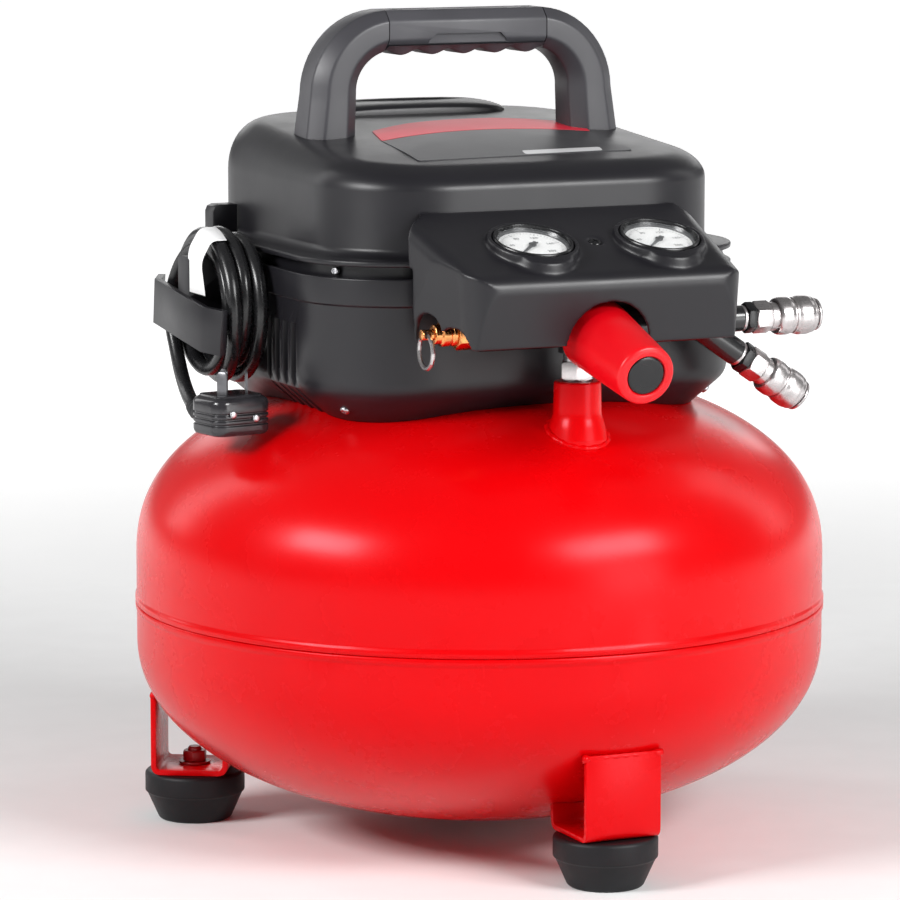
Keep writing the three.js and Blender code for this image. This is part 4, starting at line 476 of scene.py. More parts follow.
BACKDROP_LIGHT, ROOM_LIGHT = 1.0, 0.2            # what the camera sees, and what lights the object
CAMERA_AT = Vector((-1.1251, -2.4448, 0.6169))   # metres, as the lights' distances are
CAMERA_HEADING = math.radians(-24.2646)
CAMERA_PITCH = math.radians(8.323)
CAMERA_LENS = 187.26
LOOK_AT = Vector((0, 0, 0.22))

camera_data = bpy.data.cameras.new("camera")
camera_data.lens = CAMERA_LENS
camera_data.sensor_width = 36
camera = put("camera", camera_data)
heading = Vector((-math.sin(CAMERA_HEADING) * math.cos(CAMERA_PITCH),
                  math.cos(CAMERA_HEADING) * math.cos(CAMERA_PITCH), -math.sin(CAMERA_PITCH)))
camera.location = CAMERA_AT
camera.rotation_euler = heading.to_track_quat("-Z", "Y").to_euler()
bpy.context.scene.camera = camera


def studio():
    """A dim white room, which the camera sees as plain white."""
    world = bpy.data.worlds.new("studio")
    world.use_nodes = True
    nodes, links = world.node_tree.nodes, world.node_tree.links
    backdrop = nodes["Background"]
    room = nodes.new("ShaderNodeBackground")
    for light, strength in ((backdrop, BACKDROP_LIGHT), (room, ROOM_LIGHT)):
        light.inputs["Color"].default_value = WHITE
        light.inputs["Strength"].default_value = strength
    chooser = nodes.new("ShaderNodeMixShader")
    links.new(nodes.new("ShaderNodeLightPath").outputs["Is Camera Ray"], chooser.inputs[0])
    links.new(room.outputs[0], chooser.inputs[1])
    links.new(backdrop.outputs[0], chooser.inputs[2])
    links.new(chooser.outputs[0], nodes["World Output"].inputs["Surface"])
    return world


bpy.context.scene.world = studio()
bpy.context.scene.view_settings.view_transform = "Standard"
bpy.context.scene.view_settings.look = "None"


def softbox(name, azimuth, elevation, distance, width, height, power):
    """azimuth is measured from the camera's side of the object, positive to its right."""
    angle = math.atan2(CAMERA_AT.y, CAMERA_AT.x) + math.radians(azimuth)
    rise = math.radians(elevation)
    direction = Vector((math.cos(angle) * math.cos(rise), math.sin(angle) * math.cos(rise), math.sin(rise)))
    data = bpy.data.lights.new(name, "AREA")
    data.shape = "RECTANGLE"
    data.size = width
    data.size_y = height
    data.energy = power
    light = put(name, data)
    light.location = LOOK_AT + direction * distance
    light.rotation_euler = (-direction).to_track_quat("-Z", "Y").to_euler()


softbox("left_box", -55, 28, 2.2, 0.9, 0.52, 38)
softbox("right_box", 47, 28, 2.2, 1.1, 0.55, 40)
softbox("front_fill", 49, 4, 2.6, 1.0, 0.9, 12)
softbox("rear_box", 180, 17, 2.6, 2.4, 0.5, 9)
softbox("rear_left_strip", -120, 25, 2.0, 0.4, 1.4, 5)
softbox("rear_right_strip", 118, 25, 2.0, 0.4, 1.4, 3)


GLOW_STARTS, GLOW_FULL, GLOW = 0.35, 2.6, 0.85   # metres from the middle of the floor, and strength


def backdrop_paper():
    """Pale paper whose far part is lit by itself, as a studio's background is."""
    paper = finish_material("floor", (0.87, 0.87, 0.87), 0.9, mottle=0.01, grain=(30, 0.02, 0.0005),
                            specular=0.1)
    tree = paper.node_tree
    shader = tree.nodes["Principled BSDF"]
    reach = tree.nodes.new("ShaderNodeVectorMath")
    reach.operation = "LENGTH"
    glow = tree.nodes.new("ShaderNodeMapRange")
    glow.interpolation_type = "SMOOTHSTEP"
    glow.inputs["From Min"].default_value = GLOW_STARTS
    glow.inputs["From Max"].default_value = GLOW_FULL
    glow.inputs["To Max"].default_value = GLOW
    tree.links.new(tree.nodes["Texture Coordinate"].outputs["Object"], reach.inputs[0])
    tree.links.new(reach.outputs["Value"], glow.inputs["Value"])
    tree.links.new(glow.outputs["Result"], shader.inputs["Emission Strength"])
    shader.inputs["Emission Color"].default_value = WHITE
    return paper


FLOOR_HALF = 40.0
floor_mesh = bpy.data.meshes.new("floor")
floor_mesh.from_pydata([(-FLOOR_HALF, -FLOOR_HALF, 0), (FLOOR_HALF, -FLOOR_HALF, 0),
                        (FLOOR_HALF, FLOOR_HALF, 0), (-FLOOR_HALF, FLOOR_HALF, 0)], [], [(0, 1, 2, 3)])
floor_mesh.materials.append(backdrop_paper())
put("floor", floor_mesh)

# ------------------------------------------------------------------ power cord

CORD_RADIUS = 4.2
coil_low, coil_high = node_mm("power_cord_coil")
COIL_Y = (coil_low.y + coil_high.y) / 2
COIL_Z = (coil_low.z + coil_high.z) / 2
COIL_OUTER = (coil_high.z - coil_low.z) / 2 - CORD_RADIUS
COIL_NESTING = 0.87                              # the outer layer sinks between the inner turns
COIL_INNER = COIL_OUTER - 2 * CORD_RADIUS * COIL_NESTING
COIL_COLUMNS = [coil_high.x - CORD_RADIUS, (coil_high.x + coil_low.x) / 2, coil_low.x + CORD_RADIUS]
STEPS_PER_TURN = 30
FIRST_CROSSING, CROSSING_EVERY = -200, -310      # degrees at which the cord starts to change its lay
CROSSING_ARC = 150                               # and over which it does so


def ease(t):
    t = min(1.0, max(0.0, t))
    return t * t * (3 - 2 * t)


def coil_point(x, degrees, radius):
    angle = math.radians(degrees)
    return Vector((x, COIL_Y + radius * math.cos(angle), COIL_Z + radius * math.sin(angle)))


def wound_cord():
    """The turns on the hook: out, in, across to the next column, and so on until the plate's side."""
    first, second, third = COIL_COLUMNS
    places = [(first, COIL_OUTER), (first, COIL_INNER), (second, COIL_INNER),
              (second, COIL_OUTER), (third, COIL_OUTER), (third, COIL_INNER)]
    starts = [FIRST_CROSSING + CROSSING_EVERY * k for k in range(5)]
    points = []
    degrees = LEAD_ANGLE
    while degrees > TAIL_LEAVES:
        x, radius = places[0]
        for start, (next_x, next_radius) in zip(starts, places[1:]):
            share = ease((start - degrees) / CROSSING_ARC)
            x += (next_x - x) * share
            radius += (next_radius - radius) * share
        slow, quick = math.sin(math.radians(degrees * 0.37)), math.sin(math.radians(degrees * 1.3))
        loose = 0.5 * slow + 0.4 * quick         # no turn lies quite round
        points.append(coil_point(x, degrees, radius + loose * 0.5))
        degrees -= 360 / STEPS_PER_TURN
    return points


# The cord leaves the gland along a line that runs straight onto the coil's first turn.
GLAND_ELBOW = Vector((COIL_COLUMNS[0], COIL_Y + 66, COIL_Z - 21))
LEAD_FREE = 31.8                                 # bare cord between the gland and the coil
gland_away = math.hypot(GLAND_ELBOW.y - COIL_Y, GLAND_ELBOW.z - COIL_Z)
LEAD_ANGLE = math.degrees(math.atan2(GLAND_ELBOW.z - COIL_Z, GLAND_ELBOW.y - COIL_Y)
                          - math.acos(COIL_OUTER / gland_away))
LEAD_MEETS_COIL = coil_point(COIL_COLUMNS[0], LEAD_ANGLE, COIL_OUTER)
GLAND_DIRECTION = (LEAD_MEETS_COIL - GLAND_ELBOW).normalized()
GLAND_MOUTH = LEAD_MEETS_COIL - GLAND_DIRECTION * LEAD_FREE

# The tail swings out from the coil's last turn and down into the plug.
TURNS_BEFORE_TAIL = 5 * 360
TAIL_ANGLE = -33.3 - TURNS_BEFORE_TAIL
TAIL_LEAVES = TAIL_ANGLE + CROSSING_ARC
TAIL_RADIUS = 37.4
TAIL_X = coil_low.x - GAP - CORD_RADIUS
PLUG_MOUTH = Vector((-170.8, -8.5, 254.0))       # the cord's end, inside the plug
INTO_PLUG = Vector((-172.97, 3.94, 254.0))       # where the cord comes out of it


def cord_tail():
    """Crosses beside the last turn, then winds outward to the plug."""
    points = []
    for step in range(1, 10):
        share = step / 10
        points.append(coil_point(lerp(COIL_COLUMNS[2], TAIL_X, ease(share)),
                                 lerp(TAIL_LEAVES, TAIL_ANGLE, share),
                                 lerp(COIL_INNER, TAIL_RADIUS, ease(share))))
    last_angle = math.degrees(math.atan2(INTO_PLUG.z - COIL_Z, INTO_PLUG.y - COIL_Y)) - TURNS_BEFORE_TAIL
    last_radius = math.hypot(INTO_PLUG.z - COIL_Z, INTO_PLUG.y - COIL_Y)
    for step in range(9):
        share = step / 9
        swing = share ** 1.8
        points.append(coil_point(lerp(TAIL_X, INTO_PLUG.x, swing), lerp(TAIL_ANGLE, last_angle, share),
                                 lerp(TAIL_RADIUS, last_radius, swing)))
    return points + [INTO_PLUG, PLUG_MOUTH]


def cord_route():
    """From the gland, into the coil, round it, and down to the plug, in millimetres."""
    lead = [GLAND_MOUTH + GLAND_DIRECTION * LEAD_FREE * share for share in (0, 0.33, 0.67)]
    return lead + wound_cord() + cord_tail()


PLUG_TURN = math.radians(10)
PLUG_HALF = Vector((18.5, 16))
PLUG_CORNER = 8
PLUG_BODY = 23                                   # the height of its moulding, below the pins
BLADE_HALF_WIDTH, BLADE_HALF_SHEET = 3.1, 0.75
plug_low, plug_high = node_mm("power_plug")
PLUG_CENTRE = Vector(((plug_low.x + plug_high.x) / 2, (plug_low.y + plug_high.y) / 2, plug_low.z))


def plug_place(x, y, z):
    return PLUG_CENTRE + Vector((x * math.cos(PLUG_TURN) - y * math.sin(PLUG_TURN),
                                 x * math.sin(PLUG_TURN) + y * math.cos(PLUG_TURN), z))


def plug_ring(inset, z):
    """The plug's outline at a height: a rectangle with round corners."""
    corners = round_rectangle(PLUG_HALF.x - inset, PLUG_HALF.y - inset, max(PLUG_CORNER - inset, 2), 8)
    return [plug_place(x, y, z) for x, y in corners]


def plug_blade(x, y, splay):
    """A flat pin with a tapered tip, at a place on the plug's face."""
    turn = math.radians(90 + splay)
    rings = []
    for z, share in ((PLUG_BODY - 1, 1), (PLUG_BODY + 11.5, 1), (PLUG_BODY + 12.9, 0.6)):
        ring = []
        for sign_a, sign_b in ((-1, -1), (1, -1), (1, 1), (-1, 1)):
            a, b = sign_a * BLADE_HALF_WIDTH, sign_b * BLADE_HALF_SHEET
            ring.append(plug_place(x + a * share * math.cos(turn) - b * share * math.sin(turn),
                                   y + a * share * math.sin(turn) + b * share * math.cos(turn), z))
        rings.append(ring)
    return loft(rings)


def plug_pieces():
    """The moulded plug, with finger grooves round its sides, a raised pin face and bright pins."""
    profile = [(4, 0.2), (1.4, 0.5, 1.0), (0, 2.6, 2.0), (0, 5.4)]
    for rise in (6, 9, 12):
        profile += [(0, rise, 0.3), (1.0, rise + 0.3, 0.3), (1.0, rise + 1.2, 0.3), (0, rise + 1.5, 0.3)]
    profile += [(0, 18.5), (0.8, 20.6, 1.5), (2.8, 21.6, 0.8), (3.4, 21.8, 0.3), (3.9, 22.9, 0.3),
                (6, PLUG_BODY)]
    body = make("plug_moulding", loft([plug_ring(p.x, p.y) for p in rounded(profile, 0)]), "plug_gloss",
                replaces="power_plug", sharp=50)
    pins = plug_blade(-7.9, -4, 30) + plug_blade(7.9, -4, -30) + plug_blade(0, 7, 0)
    blades = raw(pins, "plug_pins", checked=True)
    round_edges(blades, 0.2)
    dress(blades, "pin_steel", 35)
    screws = []
    outward = plug_place(0, -1, 0) - plug_place(0, 0, 0)
    for side, x, z in (("left", -8, 13), ("right", 7, 10)):
        head = lathe([(0, -0.5), (2.2, -0.5), (2.2, 0.4), (1.6, 0.9), (0, 1.1)],
                     plug_place(x, -PLUG_HALF.y + 0.2, z), outward, 24, 0.2)
        screws.append(make(f"plug_screw_{side}", head, "zinc"))
    return [body, blades, *screws]


def boot(name, path, start, end, ribs):
    """A tapered, ribbed strain relief round the cord's first stretch."""
    rings = []
    count = len(path)
    for i, point in enumerate(path):
        along = (path[min(i + 1, count - 1)] - path[max(i - 1, 0)]).normalized()
        side = along.cross(Z).normalized()
        top = side.cross(along)
        share = i / (count - 1)
        radius = lerp(start, end, share ** 0.8) + 0.25 * math.cos(2 * math.pi * ribs * share)
        rings.append([point + side * radius * math.cos(t) + top * radius * math.sin(t) for t in angles(32)])
    return make(name, loft(rings), "black_rubber", sharp=60)


def smooth_between(before, here, there, after, t):
    """The point at t on the smooth curve from here to there (Catmull and Rom's)."""
    return 0.5 * ((2 * here) + (there - before) * t + (2 * before - 5 * here + 4 * there - after) * t * t
                  + (3 * here - before - 3 * there + after) * t ** 3)


def stretch_of(points, length):
    """Points along the first length of a route, less than a millimetre apart, along its smooth curve."""
    result, walked = [points[0]], 0.0
    neighbours = zip([points[0]] + points, points, points[1:], points[2:] + [points[-1]])
    for before, here, there, after in neighbours:
        cuts = max(1, int((there - here).length / 0.8))
        for k in range(1, cuts + 1):
            spot = smooth_between(before, here, there, after, k / cuts)
            walked += (spot - result[-1]).length
            result.append(spot)
            if walked >= length:
                return result
    return result


def draw_cord():
    route = [to_frame(p) for p in cord_route()]
    data = bpy.data.curves.new("power_cord", "CURVE")
    data.dimensions = "3D"
    data.resolution_u = 3
    data.bevel_depth = CORD_RADIUS * MM
    data.bevel_resolution = 5
    data.use_fill_caps = True
    spline = data.splines.new("BEZIER")
    spline.bezier_points.add(len(route) - 1)
    for knot, place in zip(spline.bezier_points, route):
        knot.co = place
        knot.handle_left_type = knot.handle_right_type = "AUTO"
    cord = put("power_cord", data)
    data.materials.append(MATERIALS["cord_jacket"])
    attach(cord, CHASSIS)
    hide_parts("power_cord_coil", "power_cord_tail")
    attached = plug_pieces() + [boot("plug_boot", stretch_of(cord_route()[::-1], 24), 6.6, 4.7, 5)]


draw_cord()


def paper_tag_piece():
    """A blank tag that lies over the coil's turns and hangs beside the hook's post, down to its plate."""
    clear = 0.9
    hangs = coil_low.x - 2 * CORD_RADIUS - 2 * GAP - clear
    over = COIL_OUTER + CORD_RADIUS + clear
    lower_edge, length, steps = 320.6, 36, 16
    path = rounded([(coil_low.x + 7, 0), (coil_low.x - 2.4, 0, 4), (hangs, 12, 5), (hangs, length)], 0, 8)
    rings = []
    for x, drop in path:
        fall = drop / length
        outer = []
        for k in range(steps + 1):
            y = lerp(15, 10, fall) + (2 * k / steps - 1) * lerp(8.5, 12.5, fall)
            top = COIL_Z + math.sqrt(over ** 2 - (y - COIL_Y) ** 2)
            outer.append(Vector((x, y, lerp(top, lower_edge, fall))))
        rings.append(outer + [p + Vector((0.35, 0, -0.25)) for p in reversed(outer)])
    make("cord_tag", loft(rings), "paper_tag", sharp=60)


paper_tag_piece()

# ------------------------------------------------------------------ tank

UPPER_STRAIGHT, LOWER_STRAIGHT = 27, 21.5        # the straight wall on each side of the seam
UPPER_BULGE, LOWER_BULGE = 2.33, 2.1             # how square each dish's shoulder is; 2 is an ellipse
SEAM_LIP_HEIGHT = 5


def dish(side, grow=0.0):
    """A dish's outline from the end of its straight wall to its middle, as (radius, height)."""
    upper = side > 0
    spring = SEAM + (UPPER_STRAIGHT if upper else -LOWER_STRAIGHT)
    rise = (TANK_TOP - spring if upper else spring - TANK_BOTTOM) + grow
    power = 2 / (UPPER_BULGE if upper else LOWER_BULGE)
    points = [((TANK_RADIUS + grow) * math.cos(angle) ** power,
               spring + side * (rise * math.sin(angle) ** power)) for angle in quarter(44)]
    return points[:-1] + [(0, spring + side * rise)]


def tank_form(side, grow):
    """Half of the tank as one solid, a little grown, for trimming what stands on it."""
    start = SEAM if side > 0 else SEAM + 5
    return lathe([(0, start), (TANK_RADIUS + grow, start)] + dish(side, grow), segments=160)


def tank_top_at(reach):
    """The height of the tank's upper skin at a distance from its axis."""
    spring = SEAM + UPPER_STRAIGHT
    share = (reach / TANK_RADIUS) ** UPPER_BULGE
    return spring + (TANK_TOP - spring) * (1 - share) ** (1 / UPPER_BULGE)


def tank_radius_at(z):
    """The radius of the tank's lower skin at a height."""
    spring = SEAM - LOWER_STRAIGHT
    if z >= spring:
        return TANK_RADIUS
    share = ((spring - z) / (spring - TANK_BOTTOM)) ** LOWER_BULGE
    return TANK_RADIUS * (1 - share) ** (1 / LOWER_BULGE)


def weld_ripple(angle, radius, along):
    """The seam's edge was dressed by hand, so it is a little uneven."""
    if radius <= TANK_RADIUS + 0.05:
        return 0
    place = Vector((math.cos(angle), math.sin(angle), along * 0.02)) * 9
    return -0.45 * abs(noise.noise(place))


def tank_shell(side):
    lip = SEAM + side * SEAM_LIP_HEIGHT
    edge = TANK_RADIUS + SEAM_LIP
    profile = [(TANK_RADIUS - 6, SEAM + side * 0.15), (edge - 0.5, SEAM + side * 0.15),
               (edge, SEAM + side * 0.7), (edge, lip - side * 2), (edge - 0.35, lip - side),
               (TANK_RADIUS + 0.12, lip - side * 0.2), (TANK_RADIUS, lip + side * 0.6)]
    return lathe(profile + dish(side), segments=240, wobble=weld_ripple)


for half, side in (("upper", 1), ("lower", -1)):
    make(f"tank_{half}_skin", tank_shell(side), "red_paint", replaces=f"tank_{half}_shell", sharp=60)

# ------------------------------------------------------------------ shrouds

WALL = 3
BAND_STEP = 1.5
lower_low, lower_high = node_mm("lower_shroud")
upper_high = node_mm("upper_shroud")[1]
PUMP_Y = (lower_low.y + lower_high.y) / 2
HALF_X = (lower_high.x - lower_low.x) / 2 - BAND_STEP
HALF_Y = (lower_high.y - lower_low.y) / 2 - BAND_STEP
CORNER = 62                                      # the lower shroud's corners, seen from above
SHROUD_TOP = lower_high.z
BAND_HEIGHT = 16
FOLD = TANK_TOP + 2                              # where the wall turns in towards the tank
TAPER = 1.15                                     # how far it runs in, for each millimetre down
SKIRT_BOTTOM = TANK_TOP - 29
LIP_BOTTOM = SHROUD_TOP + 6.5
LIP_TOP = LIP_BOTTOM + 3.5
UPPER_HALF_X = HALF_X - 12
UPPER_HALF_Y = HALF_Y - 6.5
ROOF = upper_high.z - 15
SHOULDER_RADIUS = 22
SHOULDER = ROOF - SHOULDER_RADIUS
ROOF_SLOPE = 0.08
CROWN = 3                                        # how much the roof's middle rises


def plan_ring(half_x, half_y, corner, z, middle=None):
    """A level rounded rectangle about the pump's centre line, with points along its straights."""
    steps, straight = 14, 6
    corners = round_rectangle(half_x, half_y, min(corner, half_x, half_y), steps, middle or (0, PUMP_Y))
    spots = [Vector((x, y, z)) for x, y in corners]
    ring = []
    for i, spot in enumerate(spots):
        ring.append(spot)
        if (i + 1) % (steps + 1) == 0:
            onward = spots[(i + 1) % len(spots)]
            ring += [spot.lerp(onward, share / straight) for share in range(1, straight)]
    return ring


def lower_ring(offset, z):
    return plan_ring(HALF_X + offset, HALF_Y + offset, CORNER + offset, z)


VENT_DEPTH, VENT_WIDTH = 8, 7.2
VENT_PLACES = [PUMP_Y - 22 - 12 * i for i in range(4)]


def vent_slot(y):
    """A slot in the left wall, which runs on as a groove in the taper below the fold."""
    outer, inner, groove = -HALF_X - 3, -HALF_X + VENT_DEPTH, -HALF_X + 2.1
    below = FOLD - 22
    run = (FOLD - below) * TAPER
    outline = [(outer, FOLD + 37), (inner, FOLD + 33), (inner, FOLD + 9), (groove, FOLD + 7),
               (groove, FOLD - 1), (groove + run, below - 1), (outer + run, below), (outer, FOLD)]
    return loft([[Vector((x, y + side * VENT_WIDTH / 2, z)) for x, z in outline] for side in (-1, 1)])


def lower_shroud_piece():
    run = (FOLD - SKIRT_BOTTOM) * TAPER
    band = SHROUD_TOP - BAND_HEIGHT
    profile = [(-run, SKIRT_BOTTOM), (0, FOLD, 7), (0, band, 0.4), (BAND_STEP, band + 1, 0.8),
               (BAND_STEP, SHROUD_TOP, 1.0), (BAND_STEP - WALL, SHROUD_TOP, 0.8),
               (BAND_STEP - WALL, band - 2, 1), (-WALL, band - 4, 1), (-WALL, FOLD, 5),
               (-WALL - run, SKIRT_BOTTOM)]
    rings = [lower_ring(offset, z) for offset, z in rounded(profile, 0, steps=5, closed=True)]
    piece = make("lower_shroud_shell", loft(rings, closed=True), "black_plastic", replaces="lower_shroud")
    cut(piece, tank_form(1, GAP))
    # The wall is thicker behind the vents, so that they are deep and dark and nothing shows through.
    join(piece, box((-HALF_X + WALL - 0.4, VENT_PLACES[-1] - 5, FOLD + 1),
                    (-HALF_X + VENT_DEPTH + 1.4, VENT_PLACES[0] + 6, FOLD + 40)))
    for y in VENT_PLACES:
        cut(piece, vent_slot(y))
    round_edges(piece, 0.5, 50, 2)
    dress(piece, "black_plastic", 40)


def roof_point(point, share=1.0):
    return Vector((point.x, point.y, point.z + ROOF_SLOPE * share * (point.y - PUMP_Y)))


def upper_ring(half_x, half_y, corner, z, share=0.0):
    return [roof_point(p, share) for p in plan_ring(half_x, half_y, corner, z)]


def wall_ring(inset, z, share=0.0):
    return upper_ring(UPPER_HALF_X - inset, UPPER_HALF_Y - inset, CORNER - inset, z, share)


def shoulder(radius, inset):
    """The wall's roll into the roof, as insets, heights and shares of the roof's slope."""
    return [(inset + radius * (1 - math.cos(angle)), SHOULDER + radius * math.sin(angle), math.sin(angle))
            for angle in quarter(12)]


def inside_rings():
    ceiling = upper_ring(UPPER_HALF_X - WALL - SHOULDER_RADIUS, UPPER_HALF_Y - WALL - SHOULDER_RADIUS,
                         CORNER - SHOULDER_RADIUS - WALL, ROOF - WALL, 1)
    down = [wall_ring(*place) for place in reversed(shoulder(SHOULDER_RADIUS - WALL, WALL))]
    return [ceiling] + down + [wall_ring(WALL, LIP_TOP)]


def skirt_rings():
    """The skirt that stands hidden inside the lower shroud, and the groove above it."""
    skirt = BAND_STEP - WALL - GAP
    foot, shelf = SHROUD_TOP - BAND_HEIGHT + 2, SHROUD_TOP - 5
    groove, inner_corner = 5, CORNER - 4.8
    places = ((WALL + groove, CORNER - 10, LIP_BOTTOM - 1), (WALL + groove, CORNER - 10, shelf + 1),
              (WALL, inner_corner, shelf - 2), (WALL, inner_corner, foot), (0, CORNER + skirt, foot),
              (0, CORNER + skirt, shelf), (groove, CORNER + skirt - groove, shelf + 2.5),
              (groove, CORNER + skirt - groove, LIP_BOTTOM))
    return [upper_ring(HALF_X + skirt - inset, HALF_Y + skirt - inset, corner, z)
            for inset, corner, z in places]


def lip_rings():
    """The lip with its rounded edges, and the fillet between it and the wall."""
    edge, fillet = 1.1, 5
    rings = []
    for inset, z in ((edge, LIP_BOTTOM), (edge * 0.3, LIP_BOTTOM + edge * 0.3), (0, LIP_BOTTOM + edge),
                     (0, LIP_TOP - edge), (edge * 0.3, LIP_TOP - edge * 0.3), (edge, LIP_TOP)):
        out = BAND_STEP - inset
        rings.append(upper_ring(HALF_X + out, HALF_Y + out, CORNER + out, z))
    out_x = (HALF_X + BAND_STEP - UPPER_HALF_X) * 0.45
    out_y = (HALF_Y + BAND_STEP - UPPER_HALF_Y) * 0.6
    for angle in quarter(6):
        share = 1 - math.sin(angle)
        rings.append(upper_ring(UPPER_HALF_X + out_x * share, UPPER_HALF_Y + out_y * share, CORNER,
                                LIP_TOP + 0.5 + fillet * (1 - math.cos(angle))))
    return rings


def roof_rings(steps=10):
    """The shoulder, and the crowned roof as far as its middle."""
    rings = [wall_ring(*place) for place in shoulder(SHOULDER_RADIUS, 0)]
    for step in range(1, steps):
        share = 1 - step / steps
        rings.append(upper_ring((UPPER_HALF_X - SHOULDER_RADIUS) * share,
                                (UPPER_HALF_Y - SHOULDER_RADIUS) * share,
                                (CORNER - SHOULDER_RADIUS) * share, ROOF + CROWN * (1 - share ** 2), 1))
    return rings


def upper_shroud_piece():
    """One skin: down the inside from the roof, round the hidden skirt and the lip, and over the roof."""
    rings = inside_rings() + skirt_rings() + lip_rings() + roof_rings()
    piece = make("upper_shroud_shell", loft(rings), "black_plastic", replaces="upper_shroud", sharp=50)
    window_low, window_high = node_mm("switch_rocker")
    grow = Vector((GAP, 9, 1.6))                 # right through the wall, with room for the rocker's swing
    cut(piece, box(window_low - grow, window_high + grow))
    join(piece, roof_hump())
    dress(piece, "black_plastic", 50)


def roof_hump():
    """The raised rear of the roof, with a rolled edge and ends that sink a little."""
    middle, half_x, half_y, corner, sink = (2, 106), 60, 17, 14, 2.5
    rings = []
    for inset, rise in ((-0.5, -9), (0, 2.2), (0.4, 3.0), (1.2, 3.7), (2.6, 4.2), (5, 4.6), (9, 4.8)):
        ring = []
        for p in plan_ring(half_x - inset * 1.6, half_y - inset, corner, ROOF + rise + 2.4, middle):
            level = min(p.z + ROOF_SLOPE * (p.y - PUMP_Y), upper_high.z - 0.2)
            ring.append(Vector((p.x, p.y, level - (abs(p.x) / half_x) ** 3 * sink)))
        rings.append(ring)
    return loft(rings)


def screw_head(name, at, direction, radius, finish="zinc"):
    """A small pan-head screw with a cross recess."""
    profile = [(0, -1), (radius, -1), (radius, 0.6), (radius * 0.8, 1.3), (0, 1.6)]
    piece = make(name, lathe(profile, at, direction, 24, 0.3), finish)
    place = axis_frame(at, direction)
    for turn in (20, 110):
        bar = box((-radius * 0.62, -0.35, 0.7), (radius * 0.62, 0.35, 2.5))
        cut(piece, bar.moved(place @ Matrix.Rotation(math.radians(turn), 4, "Z")))
    dress(piece, finish, 30)


lower_shroud_piece()
upper_shroud_piece()

for side, degrees in (("left", 208), ("right", -28), ("rear_left", 145), ("rear_right", 35)):
    turn = math.radians(degrees)
    away = Vector((math.cos(turn), math.sin(turn), 0))
    centre = Vector((math.copysign(HALF_X - CORNER, away.x),
                     PUMP_Y + math.copysign(HALF_Y - CORNER, away.y), 0))
    screw_head(f"groove_screw_{side}", centre + away * (CORNER - 4.5) + Z * (SHROUD_TOP + 3), away, 2.4)
    below_fold = 11
    screw_head(f"skirt_screw_{side}", centre + away * (CORNER - below_fold * TAPER) + Z * (FOLD - below_fold),
               away - Z * TAPER, 2.8)

# ------------------------------------------------------------------ carrying handle

HANDLE_Y = 32
HANDLE_TOP = node_mm("handle_frame")[1].z
HALF_SPAN = 81.5
BEND = 36
LEG_WIDTH = 28.5
BAR_HEIGHT = 23
HANDLE_DEPTH = 34
CHAMFER = 8
BAR_CHAMFER = CHAMFER * 0.75
GRIP_HALF = 50
GRIP_SPLIT = HANDLE_TOP - 20
BAR_MIDDLE = HANDLE_TOP - BAR_HEIGHT / 2
EDGE = 1.4                                       # how far a moulded edge is softened
GRIP_SCREW_Y = HANDLE_Y - 4
FINGERS = 5
SWELL = 3                                        # how far the finger swells stand out


def chamfered(half_across, half_deep, chamfer):
    """A chamfered rectangle with softened edges."""
    inner_across, inner_deep = half_across - chamfer, half_deep - chamfer
    corners = [(half_across, inner_deep), (inner_across, half_deep),
               (-inner_across, half_deep), (-half_across, inner_deep),
               (-half_across, -inner_deep), (-inner_across, -half_deep),
               (inner_across, -half_deep), (half_across, -inner_deep)]
    return [(p.x, p.y) for p in rounded(corners, EDGE, steps=3, closed=True)]


def handle_leg(sign):
    """One side of the arch, from the roof up and round to the grip."""
    stations = []                                # x, z, tilt and flare
    for share in (0, 0.3, 0.6, 0.85):
        stations.append((HALF_SPAN * lerp(1.035, 1, share), lerp(ROOF - 6, BAR_MIDDLE - BEND, share),
                         0.0, lerp(1.08, 1, share)))
    for angle in quarter(14):
        x = HALF_SPAN - BEND + BEND * math.cos(angle)
        if x > GRIP_HALF:
            stations.append((x, BAR_MIDDLE - BEND + BEND * math.sin(angle), angle, 1))
    stations.append((GRIP_HALF + GAP, BAR_MIDDLE, math.pi / 2, 1))
    rings = []
    for x, z, tilt, flare in stations:
        blend = tilt / (math.pi / 2)
        across = lerp(LEG_WIDTH, BAR_HEIGHT, blend) * flare
        section = chamfered(across / 2, HANDLE_DEPTH * flare / 2, lerp(CHAMFER, BAR_CHAMFER, blend))
        rings.append([Vector((sign * (x + a * math.cos(tilt)), HANDLE_Y + d, z + a * math.sin(tilt)))
                      for a, d in section])
    return loft(rings)


def bar_span(start, end, inset, chamfer):
    """A stretch of the handle's bar from one x to another, thinner by an inset on every side."""
    section = chamfered(BAR_HEIGHT / 2 - inset, HANDLE_DEPTH / 2 - inset, chamfer)
    return loft([[Vector((x, HANDLE_Y + d, BAR_MIDDLE + a)) for a, d in section] for x in (start, end)])


def handle_arch():
    """The arch, with the thin neck that the grip closes round and a collar at each of its ends."""
    # The arch's lighter black is a painted sheen.
    arch = make("handle_arch", handle_leg(1), "handle_painted_sheen", replaces="handle_frame", sharp=32)
    join(arch, handle_leg(-1))
    join(arch, bar_span(-GRIP_HALF - 4, GRIP_HALF + 4, 4, 3))
    for side in (-1, 1):
        join(arch, bar_span(side * (GRIP_HALF - 1.2), side * (GRIP_HALF + 2), 0.8, BAR_CHAMFER - 0.3))
    dress(arch, "handle_painted_sheen", 32)


